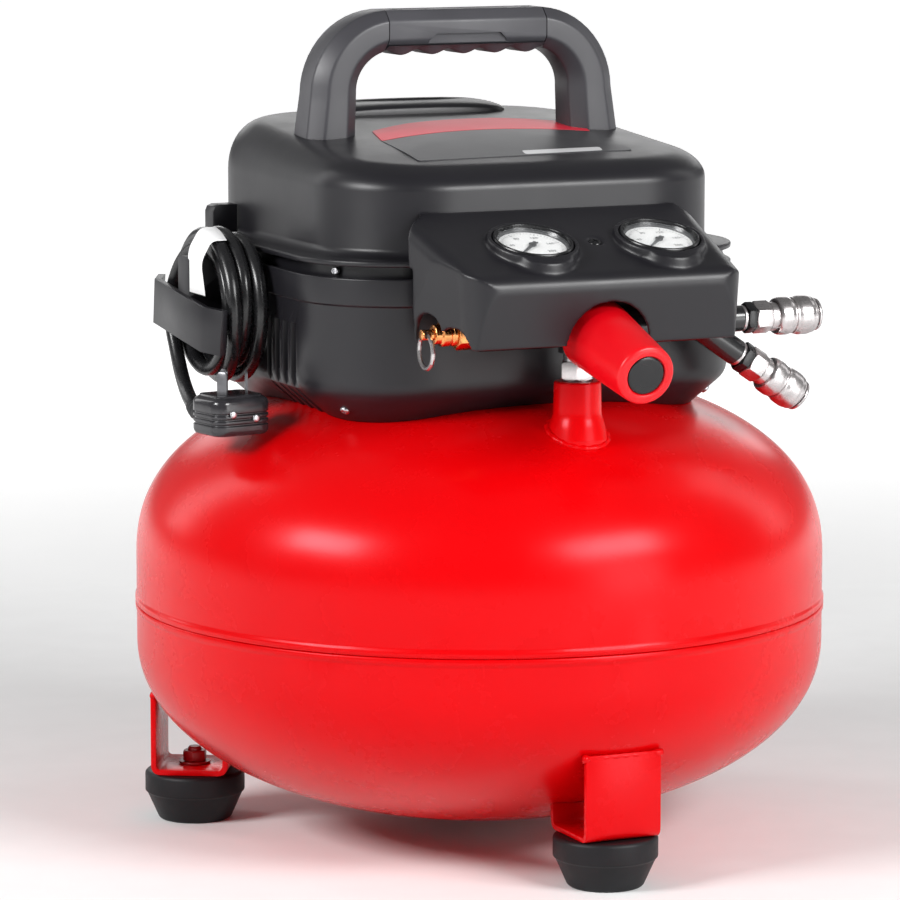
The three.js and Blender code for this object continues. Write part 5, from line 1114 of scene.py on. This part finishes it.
def grip_upper():
    """The upper half of the grip, with a shallow window on both faces and a screw at both ends."""
    upper = make("grip_upper", bar_span(GAP - GRIP_HALF, GRIP_HALF - GAP, 0, BAR_CHAMFER), "grip_grey",
                 replaces="handle_grip_upper", sharp=32)
    cut(upper, box((-60, HANDLE_Y - 30, 0), (60, HANDLE_Y + 30, GRIP_SPLIT)))
    low, high = GRIP_SPLIT - 2, GRIP_SPLIT + 6.2
    outline = [(-24.5, low), (24.5, low), (24.5, high - 4), (20.5, high), (-20.5, high), (-24.5, high - 4)]
    for side in (-1, 1):
        face = HANDLE_Y + side * HANDLE_DEPTH / 2
        cut(upper, loft([[Vector((x, face + depth, z)) for x, z in outline] for depth in (-2.2, 2.2)]))
    for side, x in (("left", -GRIP_HALF + 8), ("right", GRIP_HALF - 8)):
        cut(upper, lathe([(0, -2.4), (2.9, -2.4), (2.9, 4), (0, 4)], (x, GRIP_SCREW_Y, HANDLE_TOP), Z, 28))
        screw_head(f"grip_screw_{side}", Vector((x, GRIP_SCREW_Y, HANDLE_TOP - 2.2)), Z, 2.4, "dark_trim")
    round_edges(upper, 0.5, 32, 2)
    dress(upper, "grip_grey", 32)


def grip_lower():
    """The lower half of the grip, hollowed between its finger swells."""
    length = GRIP_HALF - GAP
    pitch = 2 * length / FINGERS
    section = chamfered(BAR_HEIGHT / 2, HANDLE_DEPTH / 2, BAR_CHAMFER)
    rings = []
    for step in range(101):
        x = lerp(-length, length, step / 100)
        hollow = SWELL * (0.5 - 0.5 * math.cos(2 * math.pi * (x + length) / pitch)) ** 0.8
        ring = []
        for a, d in section:
            low = max(0, -a / (BAR_HEIGHT / 2))
            z = min(BAR_MIDDLE + a - hollow * low ** 2, GRIP_SPLIT - GAP)
            ring.append(Vector((x, HANDLE_Y + d, z)))
        rings.append(ring)
    make("grip_lower", loft(rings), "grip_grey", replaces="handle_grip_lower", sharp=32)


handle_arch()
grip_upper()
grip_lower()

# ------------------------------------------------------------------ label on the roof


def roof_height(point):
    across = min(1, max(abs(point.x) / (UPPER_HALF_X - SHOULDER_RADIUS),
                        abs(point.y - PUMP_Y) / (UPPER_HALF_Y - SHOULDER_RADIUS)))
    return ROOF + CROWN * (1 - across ** 2) + ROOF_SLOPE * (point.y - PUMP_Y)


def roof_sheet(name, outline, lift, finish):
    """A thin sheet that lies on the domed roof, cut to an outline of (x, y) corners."""
    corners = rounded(outline, 2, closed=True)
    middle = sum(corners, Vector((0, 0))) / len(corners)
    fine = []
    for i, corner in enumerate(corners):
        onward = corners[(i + 1) % len(corners)]
        cuts = max(1, int((onward - corner).length / 6))
        fine += [corner.lerp(onward, k / cuts) for k in range(cuts)]
    rings = [[Vector((p.x, p.y, roof_height(p) + lift - 0.3)) for p in fine]]
    for share in (1, 0.8, 0.6, 0.4, 0.2, 0.02):
        flat = [middle + (p - middle) * share for p in fine]
        rings.append([Vector((p.x, p.y, roof_height(p) + lift + 0.25)) for p in flat])
    make(name, loft(rings), finish, sharp=60)


def bowed(start, control, end):
    return [bow(Vector(start), Vector(control), Vector(end), k / 14).to_tuple() for k in range(15)]


label_rear = bowed((-56, 27), (14, 79.5), (82, 40))
band_front = bowed((-64, -6), (5, 28), (74, 6))
label = [(-69, -69), (68, -61), (74, 6)] + label_rear[::-1] + [(-64, -6)]
roof_sheet("roof_label", label, 0.0, "label_film")
roof_sheet("roof_label_band", band_front + label_rear[::-1], 0.12, "label_red")
roof_sheet("roof_label_field", [(0, -62.5), (50, -59.5), (52, -51), (2, -53)], 0.12, "label_white")

# ------------------------------------------------------------------ console

MANIFOLD_Y = -131
MANIFOLD_Z = 308.5
CONSOLE_REAR = -100
CONSOLE_FRONT = -177
CONSOLE_TOP = 372
CONSOLE_FRONT_TOP = 341.5
CONSOLE_BOTTOM = 303
PANEL_SLOPE = (CONSOLE_TOP - CONSOLE_FRONT_TOP) / (CONSOLE_REAR - CONSOLE_FRONT)
LEFT_REAR, RIGHT_REAR, FRONT_HALF = 100, 88, 86
PAST_LEFT, PAST_RIGHT = -LEFT_REAR - 10, RIGHT_REAR + 10
LEFT_CHAMFER, RIGHT_CHAMFER = 19, 12
CONSOLE_CORNER = 18
RIGHT_ROLL, LEFT_ROLL = 15, 8                    # the radii at which the panel's long edges roll over
CONSOLE_DRAFT = 0.0008                           # the walls draw in by this share per millimetre down
CONSOLE_LEAN = 7                                 # how far the front wall's foot stands back
CONSOLE_EDGE = 7
VALVE_ARCH_SETBACK, VALVE_ARCH_DROP, VALVE_ARCH_RADIUS = 25, 9.5, 15
VALVE_PORT_RADIUS, OUTLET_PORT_RADIUS = 11.5, 10.1
GAUGE_X = {"tank_gauge": -33.5, "outlet_gauge": 44}
GAUGE_Y = -144
GAUGE_TILT = math.radians(17.4)
GAUGE_RISE = 5
GAUGE_RADIUS = 22.6
RING_FOOT, RING_TOP = 27.2, 25.7                 # the radii of the raised ring round a gauge
DIAL_RADIUS = 19
DIAL_NORMAL = Vector((0, -math.sin(GAUGE_TILT), math.cos(GAUGE_TILT)))
PANEL_FORWARD = Vector((0, -math.cos(GAUGE_TILT), -math.sin(GAUGE_TILT)))
KNOB_TILT = math.radians(14.5)
KNOB_AXIS = Vector((0, -math.cos(KNOB_TILT), -math.sin(KNOB_TILT)))
KNOB_ROOT = Vector((0, MANIFOLD_Y, MANIFOLD_Z + 4.5))
KNOB_START, KNOB_END = 22, 88.5
KNOB_REAR, KNOB_FRONT = 20.5, 16
SCREW_X = (GAUGE_X["tank_gauge"] + GAUGE_X["outlet_gauge"]) / 2 + 2
SCREW_Y = GAUGE_Y + 6
PANEL_UP = Vector((0, -PANEL_SLOPE, 1)).normalized()


def panel_height(y):
    return CONSOLE_TOP - PANEL_SLOPE * (CONSOLE_REAR - y)


def gauge_at(x, along=0.0, forward=0.0):
    middle = Vector((x, GAUGE_Y, panel_height(GAUGE_Y) + GAUGE_RISE))
    return middle + DIAL_NORMAL * along + PANEL_FORWARD * forward


def knob_at(along):
    return KNOB_ROOT + KNOB_AXIS * along


def manifold_at(x):
    return Vector((x, MANIFOLD_Y, MANIFOLD_Z))


def rod(start, end, radius, end_radius=None, segments=64):
    """A round bar or cone from one point to another."""
    start, end = Vector(start), Vector(end)
    tip = radius if end_radius is None else end_radius
    length = (end - start).length
    return lathe([(0, 0), (radius, 0), (tip, length), (0, length)], start, end - start, segments)


def console_plan(inset, rear):
    """The console's outline from above, from its right rear end round the front to its left rear end."""
    front = CONSOLE_FRONT + inset
    corner = max(CONSOLE_CORNER - inset, 2)

    def side(rear_half, front_half, chamfer):
        points = [(rear_half - chamfer - inset, rear), (rear_half - chamfer - inset, CONSOLE_REAR, 3),
                  (rear_half - inset, CONSOLE_REAR - chamfer * 0.9, 5),
                  (front_half - inset, front + corner)]
        wall = [(p.x, p.y) for p in rounded(points, 4, 5)]
        for angle in quarter(12)[1:]:
            wall.append((front_half - inset - corner * (1 - math.cos(angle)),
                         front + corner * (1 - math.sin(angle))))
        return wall

    right = side(RIGHT_REAR, FRONT_HALF, RIGHT_CHAMFER)
    left = [(-x, y) for x, y in side(LEFT_REAR, FRONT_HALF + 2, LEFT_CHAMFER)]
    return right + left[::-1]


def console_form(inset, bottom, rear, name):
    """The console's solid form: its plan drawn upward, its side outline, and its rolled edges, in common."""
    plan = console_plan(inset, rear)
    form = raw(loft([[Vector((x * (1 - CONSOLE_DRAFT * (CONSOLE_TOP - z)), y, z)) for x, y in plan]
                     for z in (CONSOLE_BOTTOM - 10, CONSOLE_TOP + 10)]), name)
    front = CONSOLE_FRONT + inset
    edge = max(CONSOLE_EDGE - inset, 2)
    below = Vector((front, CONSOLE_FRONT_TOP - inset - edge))
    tip = Vector((front, CONSOLE_FRONT_TOP - inset))
    behind = Vector((front + edge, panel_height(front + edge) - inset))
    outline = [(rear, bottom), (front + CONSOLE_LEAN, bottom), tuple(below)]
    outline += [tuple(bow(below, tip, behind, step / 10)) for step in range(1, 11)]
    outline += [(CONSOLE_REAR, CONSOLE_TOP - inset), (rear, CONSOLE_TOP - inset)]
    keep_inside(form, loft([[Vector((x, y, z)) for y, z in outline] for x in (PAST_LEFT, -PAST_LEFT)]))
    keep_inside(form, console_roll(inset, rear))
    return form


def console_roll(inset, rear):
    """The panel's long edges roll over into the side walls."""
    def corner(half, roll, y, sign):
        radius = max(roll - inset, 2)
        top = panel_height(y) - inset
        points = [Vector((sign * half, y, CONSOLE_BOTTOM - 20))]
        for angle in quarter(12):
            points.append(Vector((sign * (half - radius * (1 - math.cos(angle))), y,
                                  top - radius * (1 - math.sin(angle)))))
        return points

    drawn_in = 1 - CONSOLE_DRAFT * (CONSOLE_TOP - CONSOLE_FRONT_TOP)
    rings = []
    for right, left, y in ((RIGHT_REAR, LEFT_REAR, rear),
                           (FRONT_HALF * drawn_in, (FRONT_HALF + 2) * drawn_in, CONSOLE_FRONT - 5)):
        rings.append(corner(right - inset, RIGHT_ROLL, y, 1) + corner(left - inset, LEFT_ROLL, y, -1)[::-1])
    return loft(rings)


def arched_cut(cover, start, end, radius):
    """A round hole along a level line, open all the way down from its middle."""
    low, high = sorted((start.x, end.x))
    cut(cover, rod(start, end, radius))
    cut(cover, box((low, start.y - radius, CONSOLE_BOTTOM - 12), (high, start.y + radius, start.z)))


def console_arches(cover):
    """The arches for the knob, beside the safety valve, and for the valve and the two outlets."""
    arch = KNOB_REAR + 4
    cut(cover, rod(knob_at(KNOB_START - 8), knob_at(KNOB_END), arch, segments=96))
    cut(cover, box((-arch, CONSOLE_FRONT - 5, CONSOLE_BOTTOM - 12),
                   (arch, CONSOLE_FRONT + 20, knob_at(46).z)))
    room_left, room_right = -FRONT_HALF + 20, FRONT_HALF - 20
    arch_y, arch_z = CONSOLE_FRONT + VALVE_ARCH_SETBACK, MANIFOLD_Z - VALVE_ARCH_DROP
    arched_cut(cover, Vector((PAST_LEFT, arch_y, arch_z)), Vector((room_left, arch_y, arch_z)),
               VALVE_ARCH_RADIUS)
    arched_cut(cover, manifold_at(PAST_LEFT), manifold_at(room_left), VALVE_PORT_RADIUS)
    arched_cut(cover, manifold_at(room_right), manifold_at(PAST_RIGHT), OUTLET_PORT_RADIUS)


def room_for_shrouds(cover):
    """The side walls end before the lip, and the rest follows the shrouds' walls."""
    front = PUMP_Y - HALF_Y - 13
    for low, high in ((PAST_LEFT, 22 - RIGHT_REAR), (RIGHT_REAR - 22, PAST_RIGHT)):
        cut(cover, box((low, front, CONSOLE_BOTTOM - 20), (high, CONSOLE_REAR + 40, LIP_BOTTOM + 1)))
    cut(cover, loft([plan_ring(UPPER_HALF_X + GAP, UPPER_HALF_Y + GAP, CORNER + GAP, z)
                     for z in (LIP_TOP - 1, ROOF)]))
    cut(cover, loft([plan_ring(HALF_X + BAND_STEP + GAP, HALF_Y + BAND_STEP + GAP, CORNER + 1.8, z)
                     for z in (CONSOLE_BOTTOM - 30, LIP_TOP + GAP)]))


def console_piece():
    """The hollow cover, with a ring round each gauge and a cowl before it."""
    def gauge_ring(x):
        join(cover, rod(gauge_at(x, -14), gauge_at(x), RING_FOOT, RING_TOP))

    cover = console_form(0, CONSOLE_BOTTOM, CONSOLE_REAR + 14, "console_shell")
    for x in GAUGE_X.values():
        gauge_ring(x)
        join(cover, rod(gauge_at(x, -9, 12.5), gauge_at(x, -1.2, 12.5), 20.5, 17.5))
    boolean(cover, console_form(WALL, CONSOLE_BOTTOM - 8, CONSOLE_REAR + 30, "console_room"), "DIFFERENCE")
    for x in GAUGE_X.values():
        gauge_ring(x)
    for x in GAUGE_X.values():
        cut(cover, rod(gauge_at(x, -40), gauge_at(x, 5), GAUGE_RADIUS + GAP))
    console_arches(cover)
    room_for_shrouds(cover)
    well = Vector((SCREW_X, SCREW_Y, panel_height(SCREW_Y)))
    cut(cover, rod(well - PANEL_UP * 1.6, well + PANEL_UP * 3, 4.6))
    soften(cover, 0.9, 9, 0.5)
    dress(cover, "black_plastic", 180, CHASSIS, "console_cover")
    screw_head("console_screw", well - PANEL_UP * 1.5, PANEL_UP, 3.6, "dark_trim")


console_piece()

# ------------------------------------------------------------------ gauges

DIAL_FACE = -3.6 + GAP / 10
DIAL_START, DIAL_SWEEP = 225, 270                # degrees: where the scale begins, and how far it runs


def dial_frame(x):
    """Local X to the right on the dial, Y to its top, Z towards the eye."""
    place = Matrix((X, DIAL_NORMAL.cross(X), DIAL_NORMAL)).transposed().to_4x4()
    return Matrix.Translation(gauge_at(x, DIAL_FACE)) @ place


def dial_angle(share):
    return math.radians(DIAL_START - DIAL_SWEEP * share)


def dial_marks(x):
    """Forty divisions, with a longer line at every fourth and a long, thick one at every eighth."""
    marks = Shape()
    place = dial_frame(x)
    for step in range(41):
        length, width = (3.0, 0.30) if step % 8 == 0 else (1.8, 0.14) if step % 4 == 0 else (1.2, 0.14)
        outer = DIAL_RADIUS - 1.6
        tick = box((outer - length, -width / 2, 0), (outer, width / 2, 0.06))
        marks = marks + tick.moved(place @ Matrix.Rotation(dial_angle(step / 40), 4, "Z"))
    return marks


def dial_numbers(name, x):
    """Plain numbers round the dial, as flat letter forms."""
    place = dial_frame(x)
    reach = DIAL_RADIUS - 7.4
    numbers = Shape()
    for step in range(6):
        letters = bpy.data.curves.new(f"{name}_number", "FONT")
        letters.body = str(step * 40)
        letters.size = 3.4
        letters.extrude = 0.02
        letters.align_x = "CENTER"
        letters.align_y = "CENTER"
        letters.resolution_u = 2
        text = put("number", letters)
        bpy.context.view_layer.update()
        graph = bpy.context.evaluated_depsgraph_get()
        mesh = bpy.data.meshes.new_from_object(text.evaluated_get(graph))
        angle = dial_angle(step / 5)
        spot = place @ Matrix.Translation((reach * math.cos(angle), reach * math.sin(angle), 0.05))
        flat = Shape([v.co for v in mesh.vertices], [p.vertices for p in mesh.polygons])
        numbers = numbers + flat.moved(spot)
        bpy.data.objects.remove(text, do_unlink=True)
        bpy.data.meshes.remove(mesh)
    return numbers


for gauge, x in GAUGE_X.items():
    case = [(0, -20), (19.6, -20), (22.6, -17), (22.6, -0.6, 0.9), (21.9, 0.55, 0.8), (20.9, 0.4, 0.5),
            (20.6, -1.2), (19.4, -3.3), (19.3, -4.7), (0, -4.7)]
    face = [(0, 0), (DIAL_RADIUS, 0), (DIAL_RADIUS, 0.8), (0, 0.8)]
    window = [(0, 0), (20.2, 0), (20.2, 0.8), (0, 1.0)]
    make(f"{gauge}_ring", lathe(case, gauge_at(x), DIAL_NORMAL, 96, 0.2), "dark_trim",
         replaces=f"{gauge}_case", sharp=50)
    make(f"{gauge}_face", lathe(face, gauge_at(x, -4.4), DIAL_NORMAL), "white_face", replaces=f"{gauge}_dial")
    make(f"{gauge}_marks", dial_marks(x), "dial_ink", sharp=60)
    make(f"{gauge}_numbers", dial_numbers(gauge, x), "dial_ink", sharp=60)
    make(f"{gauge}_window", lathe(window, gauge_at(x, -2.4), DIAL_NORMAL), "clear_lens",
         replaces=f"{gauge}_lens")

# ------------------------------------------------------------------ regulator knob

CAP_DEPTH = 2
knob_length = KNOB_END - KNOB_START
cap_seat = knob_length - CAP_DEPTH - GAP
knob_profile = [(16, 0), (KNOB_REAR - 1.2, 0, 0.8), (KNOB_REAR, 1.2, 0.8),
                (KNOB_FRONT + 0.9, knob_length - 4, 1.2), (KNOB_FRONT + 0.6, knob_length - 1.0, 1.6),
                (KNOB_FRONT - 2.2, knob_length, 1.4), (11.6, knob_length - 0.2, 0.6),
                (11.0, knob_length - 1.2, 0.4), (11.0, cap_seat), (0, cap_seat),
                (0, 43.6), (4.3, 43.6), (4.3, 29), (16, 29), (16, 0)]
make("knob_cone", lathe(knob_profile, knob_at(KNOB_START), KNOB_AXIS, 128, 0.01), "red_plastic", "knob",
     replaces="regulator_knob", sharp=60)
cap_profile = [(0, 0), (10.7, 0), (10.7, 1.0, 0.5), (9.6, 1.5, 0.5), (0, 1.6)]
make("knob_disc", lathe(cap_profile, knob_at(KNOB_END - CAP_DEPTH), KNOB_AXIS, 96, 0.01), "dark_trim", "knob",
     replaces="knob_cap", sharp=60)

# ------------------------------------------------------------------ bung, nipple, safety valve

BUNG_TOP = 278.5
VALVE_SEAT = -60.3                               # the manifold's left end, where the safety valve screws in


def hand_finished(angle, radius, along):
    """The bung's foot isn't quite round."""
    return 0.25 * math.sin(5 * angle) * max(0, 1 - along / 16) if radius > 12 else 0


def bung_piece():
    profile = [(8.3, 0), (17.0, 0), (17.0, 6), (15.4, 14, 4), (13.6, 19, 6), (13.2, 37.2, 0.8),
               (12.3, 38, 0.6), (8.9, 38, 0.4), (8.3, 37.4), (8.3, 0)]
    turned = lathe(profile, Vector((0, MANIFOLD_Y, BUNG_TOP - 38)), Z, 96, 0.01, wobble=hand_finished)
    bung = make("bung_turned", turned, "red_paint", replaces="outlet_bung", sharp=50)
    cut(bung, tank_form(1, 0.05))
    dress(bung, "red_paint", 50)


def bead_ring(spot, away, thick, flat):
    """One section of a weld bead."""
    return [spot + away * thick * math.cos(t) + Z * thick * flat * math.sin(t) for t in angles(10)]


def bung_weld():
    """A wavy bead laid round the bung's foot on the tank."""
    rings = []
    for angle in angles(120):
        away = Vector((math.cos(angle), math.sin(angle), 0))
        spot = Vector((0, MANIFOLD_Y, 0)) + away * 16.2
        spot.z = tank_top_at(math.hypot(spot.x, spot.y))
        thick = 2.3 * (1 + 0.12 * math.sin(17 * angle))
        rings.append(bead_ring(spot, away, thick, 0.8))
    make("bung_weld", loft(rings, closed=True), "red_paint", sharp=180)


def hexagon(name, base, direction, radius, length, chamfer, finish, hole):
    """A nut: six flats with turned chamfers at both ends, and a hole."""
    nut = make(name, lathe([(0, 0), (radius, 0), (radius, length), (0, length)], base, direction, 6), finish)
    inner, outer = radius * math.cos(math.pi / 6) - chamfer * 0.4, radius + 0.1
    turned = [(0, -0.1), (inner, -0.1), (outer, chamfer), (outer, length - chamfer), (inner, length + 0.1),
              (0, length + 0.1)]
    keep_inside(nut, lathe(turned, base, direction, 64))
    cut(nut, lathe([(0, -1), (hole, -1), (hole, length + 1), (0, length + 1)], base, direction, 48))
    round_edges(nut, 0.18, 25, 2)
    dress(nut, finish, 30)


bung_piece()
bung_weld()
nipple = lathe([(0, 0), (8, 0), (8, 27.7, 0.5), (0, 27.7)], (0, MANIFOLD_Y, BUNG_TOP - 12), Z, 64, 0.01)
make("nipple_tube", nipple, "nickel", replaces="manifold_nipple")
hexagon("nipple_nut", Vector((0, MANIFOLD_Y, BUNG_TOP + GAP)), Z, 9.8, 11, 1.4, "nickel", 7.9)

hexagon("valve_nut", manifold_at(VALVE_SEAT), -X, 9.5, 15, 1.2, "brass", 6.9)
valve_profile = [(0, 0.2), (6.8, 0.2), (6.8, 15), (7, 15.6, 0.4), (7, 17.2, 0.3), (6.4, 17.8, 0.3),
                 (6.4, 18.6, 0.3), (7, 19.2, 0.3), (7, 23.4, 0.6), (5.5, 24.2, 0.3), (5.5, 27.6, 0.4),
                 (4.8, 28, 0.3), (3.3, 28), (3.3, 19.7), (0, 19.7)]
make("valve_turned", lathe(valve_profile, manifold_at(VALVE_SEAT), -X, 64, 0.01), "brass",
     replaces="safety_valve_body", sharp=40)

# ------------------------------------------------------------------ quick couplers

BRANCH_ANGLE = math.radians(-33.6)
BRANCH = Vector((math.cos(BRANCH_ANGLE), 0, math.sin(BRANCH_ANGLE)))
BRANCH_FOOT = manifold_at(70)
BRANCH_LENGTH = 35
SLEEVE_START = 22.4                              # from the coupler's foot


def coupler(name, base, direction):
    """A push coupler in nickel plate: collar, black seal, nut, barrel and sprung sleeve."""
    body = [(0, 0.3), (6.6, 0.3), (7.2, 0.9, 0.3), (7.2, 2.4, 0.3), (6.0, 2.8), (6.0, 17.8), (8.2, 18.3),
            (8.2, 47.0), (9.3, 47.3, 0.4), (9.2, 48.6, 0.8), (7.6, 49.7, 0.6), (5.6, 49.7, 0.4), (4.2, 48.2),
            (4.2, 24.5), (0, 24.5)]
    make(f"{name}_turned", lathe(body, base, direction, 96, 0.01), "nickel",
         replaces=f"{name}_coupler_body", sharp=35)
    hexagon(f"{name}_seal", base + direction * 2.8, direction, 9.0, 5, 0.6, "dark_trim", 6.1)
    hexagon(f"{name}_nut", base + direction * 7.8, direction, 9.4, 10.5, 1.3, "nickel", 6.1)
    sleeve = [(8.5, 0), (9.8, 0, 0.3), (10.5, 1.0, 0.6), (10.9, 3.0, 1.6), (10.9, 7.0, 1.6), (10.3, 8.8, 0.8),
              (10.3, 9.4, 0.2), (9.5, 9.6, 0.2), (9.5, 10.3, 0.2), (10.3, 10.5, 0.2), (10.3, 11.4, 0.8),
              (11.1, 13.4, 1.4), (11.2, 17.0, 1.6), (11.1, 19.8, 1.2), (10.5, 21.4, 0.6), (10.4, 22.6, 0.6),
              (9.4, 24.0, 0.6), (8.5, 24.0), (8.5, 0)]
    turned = lathe(sleeve, base + direction * SLEEVE_START, direction, 128, 0.01)
    make(f"{name}_sleeve_turned", turned, "nickel", f"{name}_sleeve", replaces=f"{name}_coupler_sleeve",
         sharp=45)


coupler("upper", manifold_at(101), X)
coupler("lower", BRANCH_FOOT + BRANCH * BRANCH_LENGTH, BRANCH)


def manifold_piece():
    """The cast manifold with its two outlet stubs, its regulator boss and the boss over the nipple."""
    body = make("manifold_casting", rod(manifold_at(-60), manifold_at(78), 11), "black_metal",
                replaces="manifold_block")
    join(body, rod(manifold_at(77), manifold_at(101), 7.6))
    join(body, rod(BRANCH_FOOT, BRANCH_FOOT + BRANCH * BRANCH_LENGTH, 7.6))
    join(body, rod(knob_at(-2), knob_at(15), 13))
    join(body, rod(manifold_at(0), (0, MANIFOLD_Y, 294.5), 11))
    cut(body, rod(knob_at(15), knob_at(49), 15.3))
    round_edges(body, 0.7, 40, 2)
    dress(body, "black_metal", 35)


manifold_piece()

# ------------------------------------------------------------------ feet

FOOT_CIRCLE = 169
FOOT_TURNS = {"front": -90, "right": 30, "left": 150}
STRAP_HALF = 22.5                                # half the strap's width across its two legs
STRAP_LOW = 29.3
STRAP_SHEET = 3
STRAP_BEND = 6


def foot_place(degrees):
    return Matrix.Rotation(math.radians(degrees), 4, "Z") @ Matrix.Translation((FOOT_CIRCLE, 0, 0))


def closed_lathe(profile, base, direction, segments=96):
    """Turns a closed outline that keeps off the axis."""
    points = rounded(profile, 0, closed=True)
    place = axis_frame(base, direction)
    return loft([[place @ Vector((p.x * math.cos(angle), p.x * math.sin(angle), p.y)) for p in points]
                 for angle in angles(segments)], closed=True)


def keep_largest(piece):
    """Drops the scraps that a cut leaves, and keeps the piece itself."""
    with edited(piece.data) as work:
        seen, islands = set(), []
        for vert in work.verts:
            if vert in seen:
                continue
            island, waiting = [], [vert]
            seen.add(vert)
            while waiting:
                here = waiting.pop()
                island.append(here)
                for other in [edge.other_vert(here) for edge in here.link_edges]:
                    if other not in seen:
                        seen.add(other)
                        waiting.append(other)
            islands.append(island)
        islands.sort(key=len)
        for island in islands[:-1]:
            bmesh.ops.delete(work, geom=island, context="VERTS")


def bracket_piece(side, degrees):
    """A strap bent up from under the tank: an outer leg, a floor over the foot and a slanted inner leg."""
    top, leaning = 92, -STRAP_HALF - 5
    floor, inside = STRAP_LOW + STRAP_SHEET, STRAP_BEND - STRAP_SHEET
    outline = rounded([(STRAP_HALF, top), (STRAP_HALF, STRAP_LOW, STRAP_BEND),
                       (-STRAP_HALF, STRAP_LOW, STRAP_BEND), (leaning, top), (leaning + STRAP_SHEET, top),
                       (STRAP_SHEET - STRAP_HALF, floor, inside), (STRAP_HALF - STRAP_SHEET, floor, inside),
                       (STRAP_HALF - STRAP_SHEET, top)], 0, 6, closed=True)
    place = foot_place(degrees)
    strap = loft([[place @ Vector((p.x, y, p.y)) for p in outline] for y in (-23, 23)])
    piece = make(f"bracket_strap_{side}", strap, "red_paint", replaces=f"foot_bracket_{side}")
    cut(piece, box((-260, -260, node_mm(f"foot_bracket_{side}")[1].z), (260, 260, 200)))
    cut(piece, tank_form(-1, 0.25))
    cut(piece, lathe([(0, 20), (4.5, 20), (4.5, 50), (0, 50)], place.translation, Z, 32))
    keep_largest(piece)
    round_edges(piece, 0.5, 50, 2)
    dress(piece, "red_paint", 45)


def foot_bolt_piece(side, degrees):
    at = foot_place(degrees).translation
    washer = closed_lathe([(4.4, 32.6), (9.2, 32.6, 0.3), (9.2, 33.9, 0.3), (4.4, 33.9)], at, Z, 48)
    shank = [(0, 13.6), (7.2, 13.6), (7.2, 17), (4, 17), (4, 41.6), (3.2, 42.6), (0, 42.6)]
    bolt = lathe(shank, at, Z, 40, 0.01)
    # The bolt and nut carry the brackets' red paint; their darker red is painted shade.
    make(f"bolt_shank_{side}", washer + bolt, "shaded_red_paint", replaces=f"foot_bolt_{side}", sharp=35)
    hexagon(f"bolt_nut_{side}", at + Z * 34, Z, 7.4, 6.3, 0.9, "shaded_red_paint", 4.05)


def bracket_weld(side, degrees):
    """A hand-laid bead where the outer plate meets the tank, with a blob at each end."""
    place = foot_place(degrees)
    level = node_mm(f"foot_bracket_{side}")[1].z - 1.6
    rings = []
    for i in range(61):
        share = i / 60
        wave = 0.5 + 0.5 * math.sin(share * math.pi * 16)
        blob = 1 + 0.5 * (math.exp(-((share - 0.04) / 0.05) ** 2) + math.exp(-((share - 0.96) / 0.05) ** 2))
        thick = (1.7 + 0.3 * wave) * blob
        spot = place @ Vector((21.6, lerp(-24.5, 24.5, share), level))
        reach = math.hypot(spot.x, spot.y)
        away = Vector((spot.x, spot.y, 0)) / reach
        spot -= away * max(0, min(reach - tank_radius_at(level) - 0.6, 4)) * 0.35
        rings.append(bead_ring(spot, away, thick, 0.9))
    make(f"bracket_weld_{side}", loft(rings), "red_paint", sharp=180)


for side, degrees in FOOT_TURNS.items():
    foot = closed_lathe([(11, 0.0), (20.4, 0, 0.8), (21.6, 1.0, 0.8), (28.2, 15.8, 0.8), (29.4, 16.8, 0.6),
                         (29.4, 27.4, 1.4), (28.0, 29.0, 1.2), (4.4, 29.0), (4.4, 13.3), (11, 13.3)],
                        foot_place(degrees).translation, Z)
    make(f"foot_moulding_{side}", foot, "black_rubber", replaces=f"rubber_foot_{side}", sharp=35)
    bracket_piece(side, degrees)
    bracket_weld(side, degrees)
    foot_bolt_piece(side, degrees)

# ------------------------------------------------------------------ pieces that keep their solid's shape

SKINNED = {
    "cord_hook": 1.6, "cord_gland": 0.4, "regulator_body": 0.5, "safety_valve_stem": 0.3,
    "pressure_switch": 1.0, "switch_rocker": 0.5, "drain_valve_body": 0.4, "drain_valve_handle": 0.5,
}
NODE_FINISH = {part["node"]: part["material_slot"] for part in frame["record"]["subparts"]}
BODY_OF = {node: body for body, nodes in frame["record"]["behaviour"]["bodies"].items() for node in nodes}
for node, edge_width in SKINNED.items():
    from_node(node, NODE_FINISH[node], BODY_OF[node], edge_width)

for node, piece in frame["nodes"].items():
    if not piece.hide_render:
        piece.data.materials.clear()
        piece.data.materials.append(MATERIALS[NODE_FINISH[node]])
